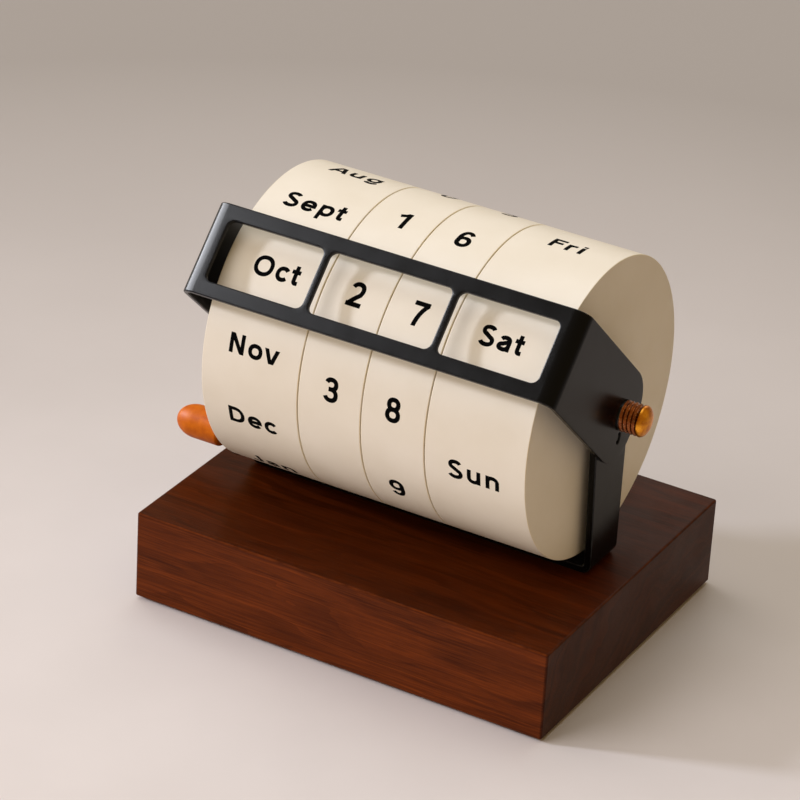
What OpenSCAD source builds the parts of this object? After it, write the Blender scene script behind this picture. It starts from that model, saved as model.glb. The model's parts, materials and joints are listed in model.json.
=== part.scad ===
// Perpetual desk calendar: four lettered rings turn on one axle behind a bent window frame.
// Millimetres. X runs along the axle, -Y is the reading side, Z is up.
// The origin is the centre of the underside, on the surface that the calendar stands on.

/* [Base] */
// Width of the wooden base, along the axle
base_w = 150; // [140:1:180]
// Depth of the wooden base, front to back
base_d = 117.5; // [105:0.5:150]
// Height of the wooden base
base_h = 31; // [24:0.5:45]
// Radius of the four upright corners of the base
base_corner_r = 0.8; // [0.8:0.1:6]
// Easing of the base's long edges
base_easing = 0.7; // [0.3:0.1:2]
// Thickness of the felt pad under the base
pad_t = 1; // [0.8:0.1:2.5]
// Distance from the base's edge to the felt pad's edge
pad_inset = 1.5; // [1:0.5:10]

/* [Rings] */
// Outer radius of the rings
drum_r = 49.7; // [46:0.1:56]
// Width of the month ring and of the weekday ring
name_ring_w = 35.2; // [30:0.2:42]
// Width of each of the two day rings
day_ring_w = 22.5; // [18:0.5:28]
// Gap between neighbouring rings
ring_gap = 0.3; // [0.2:0.05:0.8]
// Thickness of a ring's rim
rim_t = 3; // [2:0.2:5]
// Thickness of a ring's side wall
wall_t = 2.6; // [1.8:0.1:4]
// Easing of the rim's edges
rim_easing = 0.6; // [0.3:0.1:1.2]
// Wall thickness of a ring's hub
hub_t = 3; // [2:0.2:5]
// How far a hub stands back from its ring's edge
hub_inset = 0.7; // [0.4:0.1:1.2]
// Thickness of the stiffening ribs inside a name ring
rib_t = 1.6; // [1:0.2:2.4]
// Number of stiffening ribs inside a name ring
rib_count = 6; // [4:1:10]
// Height of the ribs, side wall included
rib_h = 7; // [4:0.5:9]
// Clear height between the base and the rings
drum_gap = 4.9; // [4:0.1:9]

/* [Axle] */
// Radius of the axle rod
rod_r = 3; // [2:0.1:4]
// Outer radius of the sleeve that carries the rings
sleeve_r = 6; // [5.4:0.1:8]
// Wall thickness of the bush pressed into each hub
bush_t = 2; // [1.2:0.1:3]
// Radial clearance where a part turns on another
turning_fit = 0.05; // [0.02:0.01:0.1]
// Radial clearance where a part is seated and stays still
seat_fit = 0.02; // [0.01:0.01:0.05]
// Axial play beside a part that turns
side_play = 0.1; // [0.05:0.05:0.3]
// Outer radius of the flat washers on the sleeve
washer_r = 10; // [8.5:0.1:12]

/* [Stand bracket] */
// Thickness of the bracket's strap
strap_t = 2.5; // [2:0.1:4]
// Width of the strap where it lies on the base
strap_w = 18.2; // [16:0.2:24]
// How far each upright widens forwards on its way up to the axle
upright_flare = 3.6; // [0:0.2:5]
// Gap between a ring's outer wall and the upright
end_gap = 2.7; // [2.4:0.1:5]
// Outer radius of the bracket's two bends
strap_bend_r = 3.5; // [3:0.1:6]
// Distance from one base screw to the other, along the axle
screw_pitch_x = 96; // [60:2:110]
// Distance from one base screw to the other, front to back
screw_pitch_y = 10; // [8:0.5:12]
// Radius of a base screw's head
screw_head_r = 2.6; // [2.2:0.1:3]
// Radius of a base screw's shank
screw_r = 1.25; // [1:0.05:1.5]
// Length of a base screw, head included
screw_l = 16; // [10:1:20]

/* [Window frame] */
// Angle of the reading line above the horizontal, seen from the axle
reading_angle = 43; // [35:1:55]
// Distance from the axle to the front face of the frame
face_r = 56.3; // [54:0.1:66]
// Thickness of the frame's sheet
sheet_t = 1.8; // [1:0.1:3]
// Height of the frame, along its slope
frame_h = 30.8; // [27:0.2:34]
// How far the frame's middle lies below the reading line, along its slope
frame_drop = 1; // [0:0.2:3]
// Height of the windows, along the slope
window_h = 20.8; // [14:0.2:22]
// Width of the bar between two windows
bar_w = 2.1; // [1.6:0.1:4]
// Radius of the windows' corners
window_r = 2.4; // [1:0.1:4]
// Distance from the outer windows' end to the outside of the side plates
window_margin = 7.1; // [6:0.1:10]
// Outer radius of the frame's two bends
frame_bend_r = 5; // [3.5:0.1:7]
// Thickness of the washer between an upright and a side plate
spacer_t = 0.8; // [0.5:0.1:2]
// Radius of that washer
spacer_r = 5.2; // [4.6:0.1:5.4]
// How far the side plates reach past the axle
tip_reach = 11; // [11:0.1:14]
// Radius of the side plates' round ends
tip_r = 12.4; // [8:0.1:13]
// Distance from the axle to the middle of the index slot
index_r = 7.5; // [7.4:0.1:8]
// Angle of the index slot, forwards from straight down
index_angle = 20; // [0:1:40]
// Width of the index slot
index_slot_w = 2; // [1.6:0.1:2.4]
// Length of the index slot
index_slot_l = 3.8; // [3:0.1:4]

/* [Axle knobs] */
// Radius of the axle knobs
knob_r = 5.15; // [4.6:0.05:6.5]
// Length of the ribbed barrel of an axle knob
knob_barrel_l = 6; // [5:0.2:10]
// Height of the domed end of an axle knob
knob_dome_h = 2.7; // [1.5:0.1:4]
// Number of ribs round the barrel
knob_ribs = 4; // [3:1:7]
// Depth of the grooves between those ribs
knob_groove = 0.55; // [0.3:0.05:0.8]
// Thickness of the washer under an axle knob
knob_washer_t = 0.5; // [0.4:0.1:1.5]

/* [Ring lock] */
// How far the lock screw lies in front of the axle
lock_forward = 17; // [15:0.5:22]
// How far the lock screw lies below the axle
lock_below = 41.1; // [38:0.1:42]
// Radius of the lock screw's stud
stud_r = 2; // [1.5:0.1:2.5]
// Radius of the lug that carries the lock screw
lug_r = 6.2; // [5:0.1:7]
// Wall thickness of the threaded insert in the lug
insert_t = 1.4; // [1:0.1:2]
// Radius of the insert's collar
insert_collar_r = 4.6; // [4.3:0.1:6]
// Length of the insert's collar
insert_collar_l = 4; // [2:0.2:6]
// Radius of the lock knob
lock_knob_r = 5.6; // [5:0.1:8]
// Length of the straight part of the lock knob
lock_barrel_l = 10.1; // [3:0.1:12]
// Length of the lock knob's dome
lock_dome_l = 7.6; // [5:0.1:10]
// Length of stud that shows between the collar and the knob
lock_neck_l = 1.4; // [1.2:0.1:9]
// Radius of the lock's friction pad
lock_pad_r = 3.2; // [3:0.1:5]
// Thickness of the friction pad
lock_pad_t = 1.6; // [1.3:0.1:1.8]
// Gap between the friction pad and the month ring, with the lock open
lock_gap = 0.6; // [0.5:0.05:0.8]

/* [Hidden] */

$fn = 96;
// overlap that makes a cut run clean through a face
cut = 1;
// steps of a curved profile
profile_steps = 16;
// solid left in a knob beyond its bore
knob_cap = 1;
// room beyond the rod's end in that bore
rod_end_play = 0.5;
// floor of the friction pad, which the stud presses on
pad_floor = 0.6;
// how far the index pins' ends lie below the side plates' faces
pin_recess = 0.4;
// how much deeper a pilot hole is than its screw
pilot_spare = 1;

base_top = pad_t + base_h;
axle_z = base_top + drum_gap + drum_r;

// Along the axle
drum_half = name_ring_w + day_ring_w + 1.5 * ring_gap;
seam_x = day_ring_w + ring_gap;
month_x = -drum_half;
tens_x = -day_ring_w - ring_gap / 2;
ones_x = ring_gap / 2;
weekday_x = drum_half - name_ring_w;
upright_in = drum_half + end_gap;
upright_out = upright_in + strap_t;
plate_in = upright_out + spacer_t;
plate_out = plate_in + sheet_t;
knob_x = plate_out + knob_washer_t;
knob_bore_l = knob_barrel_l - knob_cap;
rod_half = knob_x + knob_bore_l - rod_end_play;

// Round the axle
sleeve_bore_r = rod_r + turning_fit;
bush_bore_r = sleeve_r + turning_fit;
bush_r = sleeve_r + bush_t;
hub_bore_r = bush_r + seat_fit;
hub_r = hub_bore_r + hub_t;
rim_in_r = drum_r - rim_t;
end_washer_t = end_gap - 2 * side_play;
ring_washer_t = ring_gap + 2 * hub_inset - 2 * side_play;
spring_h = 1.4;
spring_t = 0.7;

// Window frame, in its own slope coordinates
bend_in_r = frame_bend_r - sheet_t;
face_half = plate_out - frame_bend_r;
frame_top = frame_h / 2 - frame_drop;
frame_low = -frame_h / 2 - frame_drop;
window_low = -window_h / 2 - frame_drop;
window_end = plate_out - window_margin;
tip_round = min(tip_r, frame_h / 2 - 0.1);

// Ring lock
lock_y = -lock_forward;
lock_z = axle_z - lock_below;
lock_pad_x = -(drum_half + lock_gap + lock_pad_t);
stud_in_x = lock_pad_x + lock_pad_t - pad_floor;
insert_r = stud_r + turning_fit + insert_t;
collar_x = -(upright_out + insert_collar_l);
lock_knob_x = collar_x - lock_neck_l;
stud_out_x = lock_knob_x - lock_barrel_l;

walnut = [0.32, 0.14, 0.06];
ivory = [0.92, 0.88, 0.79];
black = [0.13, 0.13, 0.14];
amber = [0.80, 0.45, 0.12];
brass = [0.76, 0.60, 0.30];
steel = [0.66, 0.67, 0.69];
felt = [0.12, 0.11, 0.10];
nylon = [0.85, 0.84, 0.80];

// Stands its children, drawn along Z, on the axle's line with their foot at x
module on_axle(x) {
    translate([x, 0, axle_z]) rotate([0, 90, 0]) children();
}

// The same on the lock screw's line
module on_lock(x) {
    translate([x, lock_y, lock_z]) rotate([0, 90, 0]) children();
}

// Round tube along Z
module tube(outer, inner, length) {
    difference() {
        cylinder(r = outer, h = length);
        translate([0, 0, -cut]) cylinder(r = inner, h = length + 2 * cut);
    }
}

// Rectangle with round corners, from its low corner
module round_rect(w, h, r) {
    translate([r, 0]) square([w - 2 * r, h]);
    translate([0, r]) square([w, h - 2 * r]);
    for (x = [r, w - r], y = [r, h - r]) translate([x, y]) circle(r = r, $fn = 32);
}

// Rectangle with eased corners, centred across and standing on its lower side
module eased_rect(w, h, e) {
    polygon([
        [-w / 2 + e, 0], [w / 2 - e, 0], [w / 2, e], [w / 2, h - e],
        [w / 2 - e, h], [-w / 2 + e, h], [-w / 2, h - e], [-w / 2, e]
    ]);
}

// Calls its children at each of the four base screws
module at_screws() {
    for (sx = [-1, 1], sy = [-1, 1])
        translate([sx * screw_pitch_x / 2, sy * screw_pitch_y / 2, 0]) children();
}

module base_block() {
    pilot_l = screw_l - strap_t + pilot_spare;
    color(walnut) difference() {
        intersection() {
            translate([-base_w / 2, -base_d / 2, pad_t])
                linear_extrude(base_h) round_rect(base_w, base_d, base_corner_r);
            translate([0, base_d / 2 + cut, pad_t]) rotate([90, 0, 0])
                linear_extrude(base_d + 2 * cut) eased_rect(base_w, base_h, base_easing);
            translate([-base_w / 2 - cut, 0, pad_t]) rotate([90, 0, 90])
                linear_extrude(base_w + 2 * cut) eased_rect(base_d, base_h, base_easing);
        }
        at_screws() translate([0, 0, base_top - pilot_l])
            cylinder(r = screw_r + seat_fit, h = pilot_l + cut, $fn = 32);
    }
}

module base_pad() {
    w = base_w - 2 * pad_inset;
    d = base_d - 2 * pad_inset;
    color(felt) translate([-w / 2, -d / 2, 0]) linear_extrude(pad_t) round_rect(w, d, base_corner_r);
}

// Side view of the strap: a flat foot with an upright bent up at each end
module strap_profile() {
    in_r = strap_bend_r - strap_t;
    height = axle_z - base_top + strap_w;
    translate([-upright_out + strap_bend_r, 0]) square([2 * (upright_out - strap_bend_r), strap_t]);
    for (side = [-1, 1]) {
        post_x = side > 0 ? upright_in : -upright_out;
        translate([post_x, strap_bend_r]) square([strap_t, height - strap_bend_r]);
        translate([side * (upright_out - strap_bend_r), strap_bend_r]) intersection() {
            difference() {
                circle(r = strap_bend_r, $fn = 48);
                circle(r = in_r, $fn = 48);
            }
            translate([side > 0 ? 0 : -strap_bend_r, -strap_bend_r]) square(strap_bend_r);
        }
    }
}

// End view of the strap: the upright widens forwards and ends in a round top
module upright_outline() {
    foot = strap_w / 2;
    rise = axle_z - base_top;
    polygon([[-foot, 0], [foot, 0], [foot, rise], [-foot - upright_flare, rise], [-foot, strap_bend_r]]);
    translate([-upright_flare / 2, rise]) circle(r = (strap_w + upright_flare) / 2);
}

// Lug that reaches forwards from the left upright
module lock_lug() {
    rise = lock_z - base_top;
    translate([lock_y, rise]) circle(r = lug_r);
    translate([lock_y, rise - lug_r]) square([lock_forward, 2 * lug_r]);
}

module stand_bracket() {
    color(black) difference() {
        union() {
            intersection() {
                translate([0, drum_r, base_top]) rotate([90, 0, 0])
                    linear_extrude(2 * drum_r) strap_profile();
                translate([-upright_out - cut, 0, base_top]) rotate([90, 0, 90])
                    linear_extrude(2 * (upright_out + cut)) upright_outline();
            }
            translate([-upright_out, 0, base_top]) rotate([90, 0, 90])
                linear_extrude(strap_t) lock_lug();
        }
        on_axle(-upright_out - cut) cylinder(r = rod_r + turning_fit, h = 2 * (upright_out + cut));
        on_lock(-upright_out - cut) cylinder(r = insert_r + seat_fit, h = strap_t + 2 * cut);
        at_index_slots() cylinder(r = index_slot_w / 2, h = 3 * plate_out, center = true, $fn = 32);
        at_screws() translate([0, 0, base_top + strap_t]) screw_shape(seat_fit, screw_l + cut);
    }
}

// Countersunk screw that hangs down from its head's flat face
module screw_shape(extra, length) {
    head_h = screw_head_r - screw_r;
    translate([0, 0, -head_h])
        cylinder(r1 = screw_r + extra, r2 = screw_head_r + extra, h = head_h, $fn = 32);
    translate([0, 0, -length]) cylinder(r = screw_r + extra, h = length - head_h, $fn = 32);
    if (extra > 0) cylinder(r = screw_head_r + extra, h = cut, $fn = 32);
}

module base_screws() {
    slot_w = 0.7;
    slot_d = 0.7;
    color(steel) at_screws() translate([0, 0, base_top + strap_t]) difference() {
        screw_shape(0, screw_l);
        for (turn = [0, 90]) rotate([0, 0, turn])
            translate([-screw_head_r * 0.7, -slot_w / 2, -slot_d])
                cube([screw_head_r * 1.4, slot_w, slot_d + cut]);
    }
}

module axle_rod() {
    end_easing = 0.6;
    color(brass) on_axle(-rod_half) rotate_extrude() polygon([
        [0, 0], [rod_r - end_easing, 0], [rod_r, end_easing], [rod_r, 2 * rod_half - end_easing],
        [rod_r - end_easing, 2 * rod_half], [0, 2 * rod_half]
    ]);
}

module axle_sleeve() {
    color(steel) on_axle(-upright_in) tube(sleeve_r, sleeve_bore_r, 2 * upright_in);
}

// Ring along Z: rim, side wall and hub; the hub runs from hub_low to hub_high
module ring(width, wall_low, hub_low, hub_high) {
    rotate_extrude($fn = 192) {
        polygon([
            [rim_in_r, 0], [drum_r - rim_easing, 0], [drum_r, rim_easing],
            [drum_r, width - rim_easing], [drum_r - rim_easing, width], [rim_in_r, width]
        ]);
        translate([hub_bore_r, wall_low]) square([rim_in_r + rim_t / 2 - hub_bore_r, wall_t]);
        translate([hub_bore_r, hub_low]) square([hub_t, hub_high - hub_low]);
    }
}

// Name ring: its wall closes the outer end, and ribs behind the wall stiffen it
module name_ring() {
    ring(name_ring_w, 0, 0, name_ring_w - hub_inset);
    for (i = [0 : rib_count - 1]) rotate([0, 0, (i + 0.5) * 360 / rib_count])
        translate([hub_r - hub_t / 2, -rib_t / 2, wall_t / 2])
            cube([rim_in_r - hub_r + hub_t / 2 + rim_t / 2, rib_t, rib_h - wall_t / 2]);
}

module month_ring() {
    color(ivory) on_axle(month_x) name_ring();
}

module weekday_ring() {
    color(ivory) on_axle(weekday_x + name_ring_w) mirror([0, 0, 1]) name_ring();
}

// A day ring carries its wall in the middle
module day_ring(x) {
    wall_low = (day_ring_w - wall_t) / 2;
    color(ivory) on_axle(x) ring(day_ring_w, wall_low, hub_inset, day_ring_w - hub_inset);
}

module tens_ring() {
    day_ring(tens_x);
}

module ones_ring() {
    day_ring(ones_x);
}

// Plain bush pressed into a hub
module bush(x, length) {
    color(nylon) on_axle(x) tube(bush_r, bush_bore_r, length);
}

module month_bush() {
    bush(month_x, name_ring_w - hub_inset);
}

module tens_bush() {
    bush(tens_x + hub_inset, day_ring_w - 2 * hub_inset);
}

module ones_bush() {
    bush(ones_x + hub_inset, day_ring_w - 2 * hub_inset);
}

module weekday_bush() {
    bush(weekday_x + hub_inset, name_ring_w - hub_inset);
}

// Washers that keep neighbouring hubs apart
module ring_washers() {
    color(brass) for (x = [-seam_x, 0, seam_x])
        on_axle(x - ring_washer_t / 2) tube(washer_r, bush_bore_r, ring_washer_t);
}

// Washers between the end walls and the uprights; the right one leaves room for the disc spring
module end_washers() {
    color(brass) {
        on_axle(-upright_in) tube(washer_r, bush_bore_r, end_washer_t);
        on_axle(upright_in - end_washer_t) tube(washer_r, bush_bore_r, end_washer_t - spring_h);
    }
}

// Dished spring that presses the row of rings together
module disc_spring() {
    color(steel) on_axle(upright_in - spring_h) rotate_extrude() polygon([
        [bush_bore_r, spring_h - spring_t], [washer_r, 0], [washer_r, spring_t], [bush_bore_r, spring_h]
    ]);
}

// Front face of the frame: X across, Y up its slope
module face_outline() {
    low_x = -face_half;
    difference() {
        translate([low_x, frame_low]) square([2 * face_half, frame_h]);
        translate([-seam_x + bar_w / 2, window_low])
            round_rect(2 * seam_x - bar_w, window_h, window_r);
        for (side = [0, 1]) mirror([side, 0]) translate([seam_x + bar_w / 2, window_low])
            round_rect(window_end - seam_x - bar_w / 2, window_h, window_r);
    }
}

// Side plate: X out from the axle towards the face, Y up the slope
module side_outline() {
    length = face_r - frame_bend_r;
    difference() {
        union() {
            translate([-tip_reach + tip_round, frame_low])
                square([length + tip_reach - tip_round, frame_h]);
            translate([-tip_reach, frame_low + tip_round]) square([tip_round, frame_h - 2 * tip_round]);
            for (y = [frame_low + tip_round, frame_top - tip_round])
                translate([-tip_reach + tip_round, y]) circle(r = tip_round);
        }
        circle(r = rod_r + turning_fit);
    }
}

// Puts a drawing with X across, Y up the slope and Z outwards on the frame's slope
module on_slope() {
    translate([0, 0, axle_z]) rotate([90 - reading_angle, 0, 0]) children();
}

// Puts a drawing along X at the middle of both index slots
module at_index_slots() {
    translate([0, 0, axle_z]) rotate([-index_angle, 0, 0]) translate([0, 0, -index_r])
        rotate([0, 90, 0]) children();
}

module window_frame() {
    color(black) difference() {
        on_slope() {
            translate([0, 0, face_r - sheet_t]) linear_extrude(sheet_t) face_outline();
            for (side = [0, 1]) mirror([side, 0, 0]) {
                translate([face_half, frame_low, face_r - frame_bend_r]) rotate([-90, 0, 0]) frame_bend();
                translate([plate_out, 0, 0]) rotate([0, -90, 0]) linear_extrude(sheet_t) side_outline();
            }
        }
        at_index_slots() linear_extrude(3 * plate_out, center = true) slot_outline();
    }
}

// Index slot, long towards the axle
module slot_outline() {
    straight = index_slot_l - index_slot_w;
    square([straight, index_slot_w], center = true);
    for (end = [-1, 1]) translate([end * straight / 2, 0]) circle(r = index_slot_w / 2, $fn = 32);
}

// Quarter bend from the face to a side plate, along Z
module frame_bend() {
    linear_extrude(frame_h) intersection() {
        difference() {
            circle(r = frame_bend_r, $fn = 64);
            circle(r = bend_in_r, $fn = 64);
        }
        translate([0, -frame_bend_r]) square(frame_bend_r);
    }
}

// Pins in the uprights that enter the side plates' slots and set the frame's angle
module index_pins() {
    pin_l = plate_out - upright_in - pin_recess;
    color(black) for (side = [0, 1]) mirror([side, 0, 0]) at_index_slots()
        translate([0, 0, upright_in]) cylinder(r = index_slot_w / 2 - seat_fit, h = pin_l, $fn = 32);
}

module frame_spacers() {
    color(steel) for (x = [-plate_in, upright_out]) on_axle(x) tube(spacer_r, sleeve_bore_r, spacer_t);
}

module knob_washers() {
    color(steel) for (x = [-plate_out - knob_washer_t, plate_out])
        on_axle(x) tube(spacer_r - 0.4, sleeve_bore_r, knob_washer_t);
}

// Half profile of a ribbed knob: ribs as half waves, then a shallow dome
function knob_profile() = concat(
    [[0, 0]],
    [for (i = [0 : knob_ribs * profile_steps]) let (turn = i / profile_steps)
        [knob_r - knob_groove * abs(cos(180 * turn)) ^ 3, knob_barrel_l * turn / knob_ribs]],
    [for (i = [0 : profile_steps]) let (turn = 90 * i / profile_steps)
        [knob_r * cos(turn), knob_barrel_l + knob_dome_h * sin(turn)]]
);

module axle_knob() {
    color(amber) difference() {
        rotate_extrude($fn = 64) polygon(knob_profile());
        translate([0, 0, -cut]) cylinder(r = rod_r + turning_fit, h = knob_bore_l + cut);
    }
}

module right_knob() {
    on_axle(knob_x) axle_knob();
}

module left_knob() {
    on_axle(-knob_x) mirror([0, 0, 1]) axle_knob();
}

// Threaded insert: a neck in the lug and a collar outside it
module lock_insert() {
    bore_r = stud_r + turning_fit;
    color(brass) {
        on_lock(collar_x) tube(insert_collar_r, bore_r, insert_collar_l);
        on_lock(-upright_out) tube(insert_r, bore_r, strap_t);
    }
}

module lock_stud() {
    color(brass) on_lock(stud_out_x) cylinder(r = stud_r, h = stud_in_x - stud_out_x, $fn = 48);
}

module lock_knob() {
    easing = 0.8;
    color(amber) on_lock(lock_knob_x) mirror([0, 0, 1]) difference() {
        rotate_extrude($fn = 64) polygon(concat(
            [[0, 0], [lock_knob_r - easing, 0], [lock_knob_r, easing]],
            [for (i = [0 : profile_steps]) let (turn = 90 * i / profile_steps)
                [lock_knob_r * cos(turn), lock_barrel_l + lock_dome_l * sin(turn)]]
        ));
        translate([0, 0, -cut]) cylinder(r = stud_r + seat_fit, h = lock_barrel_l + cut, $fn = 48);
    }
}

// Pad that the stud presses against the month ring's side wall
module lock_pad() {
    color(nylon) on_lock(lock_pad_x) difference() {
        cylinder(r = lock_pad_r, h = lock_pad_t, $fn = 48);
        translate([0, 0, -cut])
            cylinder(r = stud_r + turning_fit, h = stud_in_x - lock_pad_x + turning_fit + cut, $fn = 48);
    }
}

base_block();
base_pad();
stand_bracket();
base_screws();
axle_rod();
axle_sleeve();
window_frame();
index_pins();
frame_spacers();
month_ring();
tens_ring();
ones_ring();
weekday_ring();
month_bush();
tens_bush();
ones_bush();
weekday_bush();
ring_washers();
end_washers();
disc_spring();
knob_washers();
right_knob();
left_knob();
lock_insert();
lock_stud();
lock_knob();
lock_pad();
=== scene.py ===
"""Dressed perpetual desk calendar, built around its CAD frame.

Lengths are millimetres while a piece is shaped, and metres once it is finished.
X runs along the axle, -Y is the reading side and Z is up. The origin is the middle of the underside.
"""
import json
import logging
import math
from dataclasses import dataclass
from enum import Enum
from functools import cache

import bmesh
import bpy
from mathutils import Matrix, Quaternion, Vector
from mathutils.geometry import convex_hull_2d, delaunay_2d_cdt

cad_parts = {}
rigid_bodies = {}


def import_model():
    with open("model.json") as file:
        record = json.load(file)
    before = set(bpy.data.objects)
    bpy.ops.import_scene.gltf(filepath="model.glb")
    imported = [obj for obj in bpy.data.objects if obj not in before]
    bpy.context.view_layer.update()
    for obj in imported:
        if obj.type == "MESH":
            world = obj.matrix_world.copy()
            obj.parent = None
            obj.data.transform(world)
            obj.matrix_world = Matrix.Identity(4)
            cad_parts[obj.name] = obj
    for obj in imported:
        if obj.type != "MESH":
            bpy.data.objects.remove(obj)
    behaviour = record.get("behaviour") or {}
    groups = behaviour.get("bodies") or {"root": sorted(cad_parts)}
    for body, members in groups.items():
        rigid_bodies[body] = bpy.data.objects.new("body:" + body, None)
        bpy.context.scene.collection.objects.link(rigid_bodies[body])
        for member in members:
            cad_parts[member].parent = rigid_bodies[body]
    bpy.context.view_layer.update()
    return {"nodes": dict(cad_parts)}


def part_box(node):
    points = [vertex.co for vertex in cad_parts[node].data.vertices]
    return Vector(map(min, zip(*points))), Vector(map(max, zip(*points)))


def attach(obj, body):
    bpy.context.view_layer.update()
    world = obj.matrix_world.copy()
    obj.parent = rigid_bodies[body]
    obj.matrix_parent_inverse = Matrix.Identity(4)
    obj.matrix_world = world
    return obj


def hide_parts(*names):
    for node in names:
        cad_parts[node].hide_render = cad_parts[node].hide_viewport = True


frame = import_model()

MM = 0.001
EDGE = "edge"  # vertex attribute: 1 in the middle of an eased edge, 0 on a flat
WELD = 1e-4  # vertices closer than this are one
TOUCH = 1e-6  # an outline whose ends are closer than this is closed
CUT_REACH = 1e-5  # vertices this near a cutting plane lie in it
LATHE_RAIL = 100.0  # radius of the rail that turned profiles are swept along
BAR_STEPS = 6  # points for each turn of a bar's thread

log = logging.getLogger("calendar")

Point = tuple[float, float]
Place = tuple[float, float, float]
BentPoint = tuple[float, float, float]  # x, y and how far round a corner the point lies
Corner = tuple[float, float, float]  # x, y and corner radius
Colour = tuple[float, float, float, float]
Object = bpy.types.Object
Shape = bmesh.types.BMesh
Socket = bpy.types.NodeSocket
Wire = Socket | float | tuple


class Body(Enum):
    """Bodies of the frame that new pieces ride on."""

    STAND = "stand"
    MONTH = "month"
    TENS = "tens"
    ONES = "ones"
    WEEKDAY = "weekday"
    RIGHT_KNOB = "right_knob"
    LEFT_KNOB = "left_knob"
    LOCK_SCREW = "lock_screw"


class Side(Enum):
    """The two ends of the axle."""

    LEFT = -1
    RIGHT = 1


def srgb(red: int, green: int, blue: int) -> Colour:
    """Linear colour of an 8-bit screen colour."""
    parts = [channel / 255 for channel in (red, green, blue)]
    return (*[c / 12.92 if c <= 0.04045 else ((c + 0.055) / 1.055) ** 2.4 for c in parts], 1.0)


def cad_box(node: str) -> tuple[Vector, Vector]:
    """Lowest and highest corner of a CAD node, in millimetres."""
    low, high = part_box(node)
    return low / MM, high / MM


AXLE_Z = sum(corner.z for corner in cad_box("axle_rod")) / 2
LOCK_LINE = (cad_box("lock_stud")[0] + cad_box("lock_stud")[1]) / 2


# ---- Node trees ----


class Wiring:
    """Places nodes in one node tree and joins their sockets."""

    def __init__(self, tree: bpy.types.NodeTree) -> None:
        """Works on the given tree."""
        self.tree = tree

    def put(self, kind: str, feeds: dict | None = None, **settings: object) -> bpy.types.Node:
        """Adds one node.

        Args:
            kind: type of the node.
            feeds: values or output sockets, by the input's name or index.
            settings: the node's own properties.

        Returns:
            The new node.
        """
        node = self.tree.nodes.new(kind)
        for name, value in settings.items():
            setattr(node, name, value)
        for key, value in (feeds or {}).items():
            self.feed(node.inputs[key], value)
        return node

    def feed(self, socket: Socket, value: Wire) -> None:
        """Links an output to the socket, or sets the socket's value.

        Args:
            socket: input of a node.
            value: output to link, or a value.
        """
        if isinstance(value, Socket):
            self.tree.links.new(value, socket)
        else:
            socket.default_value = value

    def out(self, kind: str, feeds: dict | None = None, **settings: object) -> Socket:
        """First output of a new node."""
        return self.put(kind, feeds, **settings).outputs[0]

    def math(self, operation: str, *values: Wire) -> Socket:
        """Result of a Math node."""
        return self.out("ShaderNodeMath", dict(enumerate(values)), operation=operation)

    def hypot(self, first: Wire, second: Wire) -> Socket:
        """Length of a vector with two parts."""
        squares = [self.math("MULTIPLY", part, part) for part in (first, second)]
        return self.math("SQRT", self.math("ADD", *squares))

    def vector(self, operation: str, *values: Wire) -> Socket:
        """Vector that a Vector Math node puts out."""
        return self.out("ShaderNodeVectorMath", dict(enumerate(values)), operation=operation)

    def scale(self, vector: Wire, factor: Wire) -> Socket:
        """A vector times a number."""
        return self.out("ShaderNodeVectorMath", {0: vector, "Scale": factor}, operation="SCALE")

    def length(self, vector: Wire) -> Socket:
        """How long a vector is."""
        return self.put("ShaderNodeVectorMath", {0: vector}, operation="LENGTH").outputs["Value"]

    def split(self, vector: Wire) -> list[Socket]:
        """The three parts of a vector."""
        return list(self.put("ShaderNodeSeparateXYZ", {0: vector}).outputs)

    def join(self, x: Wire, y: Wire, z: Wire) -> Socket:
        """Vector of three parts."""
        return self.out("ShaderNodeCombineXYZ", {0: x, 1: y, 2: z})

    def noise(self, vector: Wire, scale: Wire, detail: float = 3.0) -> Socket:
        """Even noise, about 0.5."""
        return self.out("ShaderNodeTexNoise", {"Vector": vector, "Scale": scale, "Detail": detail})

    def remap(
        self, value: Wire, low: Wire, high: Wire, to_low: Wire = 0.0, to_high: Wire = 1.0,
    ) -> Socket:
        """Value brought from one range to another, and held inside it."""
        return self.out("ShaderNodeMapRange", dict(enumerate((value, low, high, to_low, to_high))))

    def mix(self, share: Wire, first: Wire, second: Wire, blend: str = "MIX") -> Socket:
        """Colour between two colours.

        Args:
            share: how much of the second colour shows, 0 to 1.
            first: the first colour.
            second: the second colour.
            blend: how they are blended.

        Returns:
            The blended colour.
        """
        node = self.put("ShaderNodeMix", {0: share}, data_type="RGBA", blend_type=blend)
        self.feed(node.inputs[6], first)
        self.feed(node.inputs[7], second)
        return node.outputs[2]


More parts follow.
